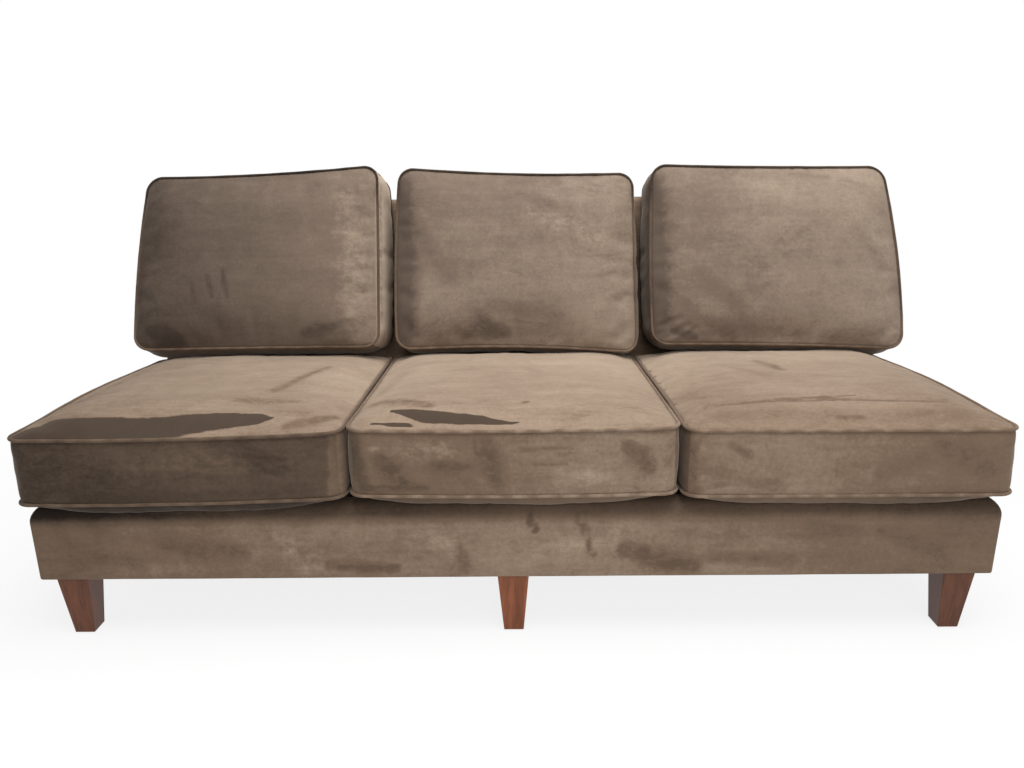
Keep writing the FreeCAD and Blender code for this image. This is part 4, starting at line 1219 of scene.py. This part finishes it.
def leg_piece(node):
    """Tapered wooden leg with eased edges."""
    low, high = box(node)
    x, y = (low.x + high.x) / 2, (low.y + high.y) / 2
    levels = np.linspace(0, 1, LEG_LEVELS)
    ring = [(-1, -1), (1, -1), (1, 1), (-1, 1)]
    points = []
    for share in levels:
        half = (LEG_FOOT + (high.x - low.x - LEG_FOOT) * share) / 2
        points += [(x + i * half, y + j * half, low.z + (high.z - low.z) * share) for i, j in ring]
    faces = grid_faces(LEG_LEVELS, 4, closed=True)
    last = 4 * (LEG_LEVELS - 1)
    faces += [(3, 2, 1, 0), (last, last + 1, last + 2, last + 3)]
    obj = new_piece(node + "_turned", points, faces, smooth=False)
    ease = obj.modifiers.new("eased", "BEVEL")
    ease.width, ease.segments, ease.limit_method = LEG_EDGE, 3, "ANGLE"
    bake(obj)
    # Painted shade on the front left and front right legs, stored as tone
    paint(obj, LEG_SHADE.get(node, 1.0))
    set_piece(obj, "frame", "leg_wood", (node,))


# Stage

FLOOR_COLOUR = (0.92, 0.92, 0.92, 1)
WHITE_SHARE = 0.84
WORLD_LIGHT = 0.34
LAMPS = [
    ("lamp_overhead", (0.3, -0.7, 3.0), (0, 0.0, 0.4), 2.6, 96),
    ("lamp_front", (1.2, -3.6, 1.9), (0, 0, 0.5), 2.2, 34),
]


def add_floor():
    """Pale floor, seen nearly white, that keeps the sofa's shadow and fades out far from it."""
    floor = new_piece("floor", [(-9, -6, 0), (9, -6, 0), (9, 14, 0), (-9, 14, 0)], [(0, 1, 2, 3)])
    shade = Shade("floor_pale")
    shade.finish({"Base Color": FLOOR_COLOUR, "Roughness": 0.9, "Specular IOR Level": 0.0})
    paths = shade.node("ShaderNodeLightPath").outputs
    seen = Value(shade, paths["Is Camera Ray"]) + Value(shade, paths["Is Glossy Ray"])
    seen = (seen + Value(shade, paths["Is Transmission Ray"])).clamped()
    away = shade.node("ShaderNodeVectorMath", {"operation": "LENGTH"}, {0: shade.place((0.8, 1, 1))})
    far = Value(shade, away.outputs["Value"]).step(0.9, 1.9)
    share = seen * (far * (1 - WHITE_SHARE) + WHITE_SHARE)
    glow = shade.node("ShaderNodeEmission", None, {"Color": (1, 1, 1, 1), "Strength": 1.0}).outputs[0]
    mixed = shade.node("ShaderNodeMixShader", None, {0: share, 1: shade.surface.outputs[0], 2: glow})
    shade.tree.links.new(mixed.outputs[0], shade.tree.nodes["Material Output"].inputs["Surface"])
    floor.data.materials.append(shade.material)


def add_world():
    """Plain surround: white where it is seen, softer where it lights."""
    world = bpy.data.worlds.new("surround")
    bpy.context.scene.world = world
    world.use_nodes = True
    tree = world.node_tree
    surround = tree.nodes["Background"]
    surround.inputs["Color"].default_value = (1, 1, 1, 1)
    path = tree.nodes.new("ShaderNodeLightPath")
    level = tree.nodes.new("ShaderNodeMapRange")
    level.inputs["To Min"].default_value = WORLD_LIGHT
    level.inputs["To Max"].default_value = 1.0
    tree.links.new(path.outputs["Is Camera Ray"], level.inputs["Value"])
    tree.links.new(level.outputs[0], surround.inputs["Strength"])


def add_lamps():
    """Soft lamps overhead and in front."""
    for name, place, target, size, power in LAMPS:
        data = bpy.data.lights.new(name, "AREA")
        data.shape, data.size, data.energy = "DISK", size, power
        lamp = bpy.data.objects.new(name, data)
        lamp.location = place
        lamp.rotation_euler = (Vector(target) - Vector(place)).to_track_quat("-Z", "Y").to_euler()
        bpy.context.scene.collection.objects.link(lamp)


add_camera()
dress_frame_nodes()
for number, kind in enumerate(["seat"] * 3 + ["back"] * 3):
    make_cushion(kind, SIDES[number % 3], 40 + number)
base_border()
deck_panel()
back_wrap()
outside_panel()
end_panel("left", -1)
end_panel("right", 1)
for node in sorted(frame["nodes"]):
    if node.endswith("_leg"):
        leg_piece(node)
add_floor()
add_world()
add_lamps()
bpy.context.scene.view_settings.view_transform = "Standard"
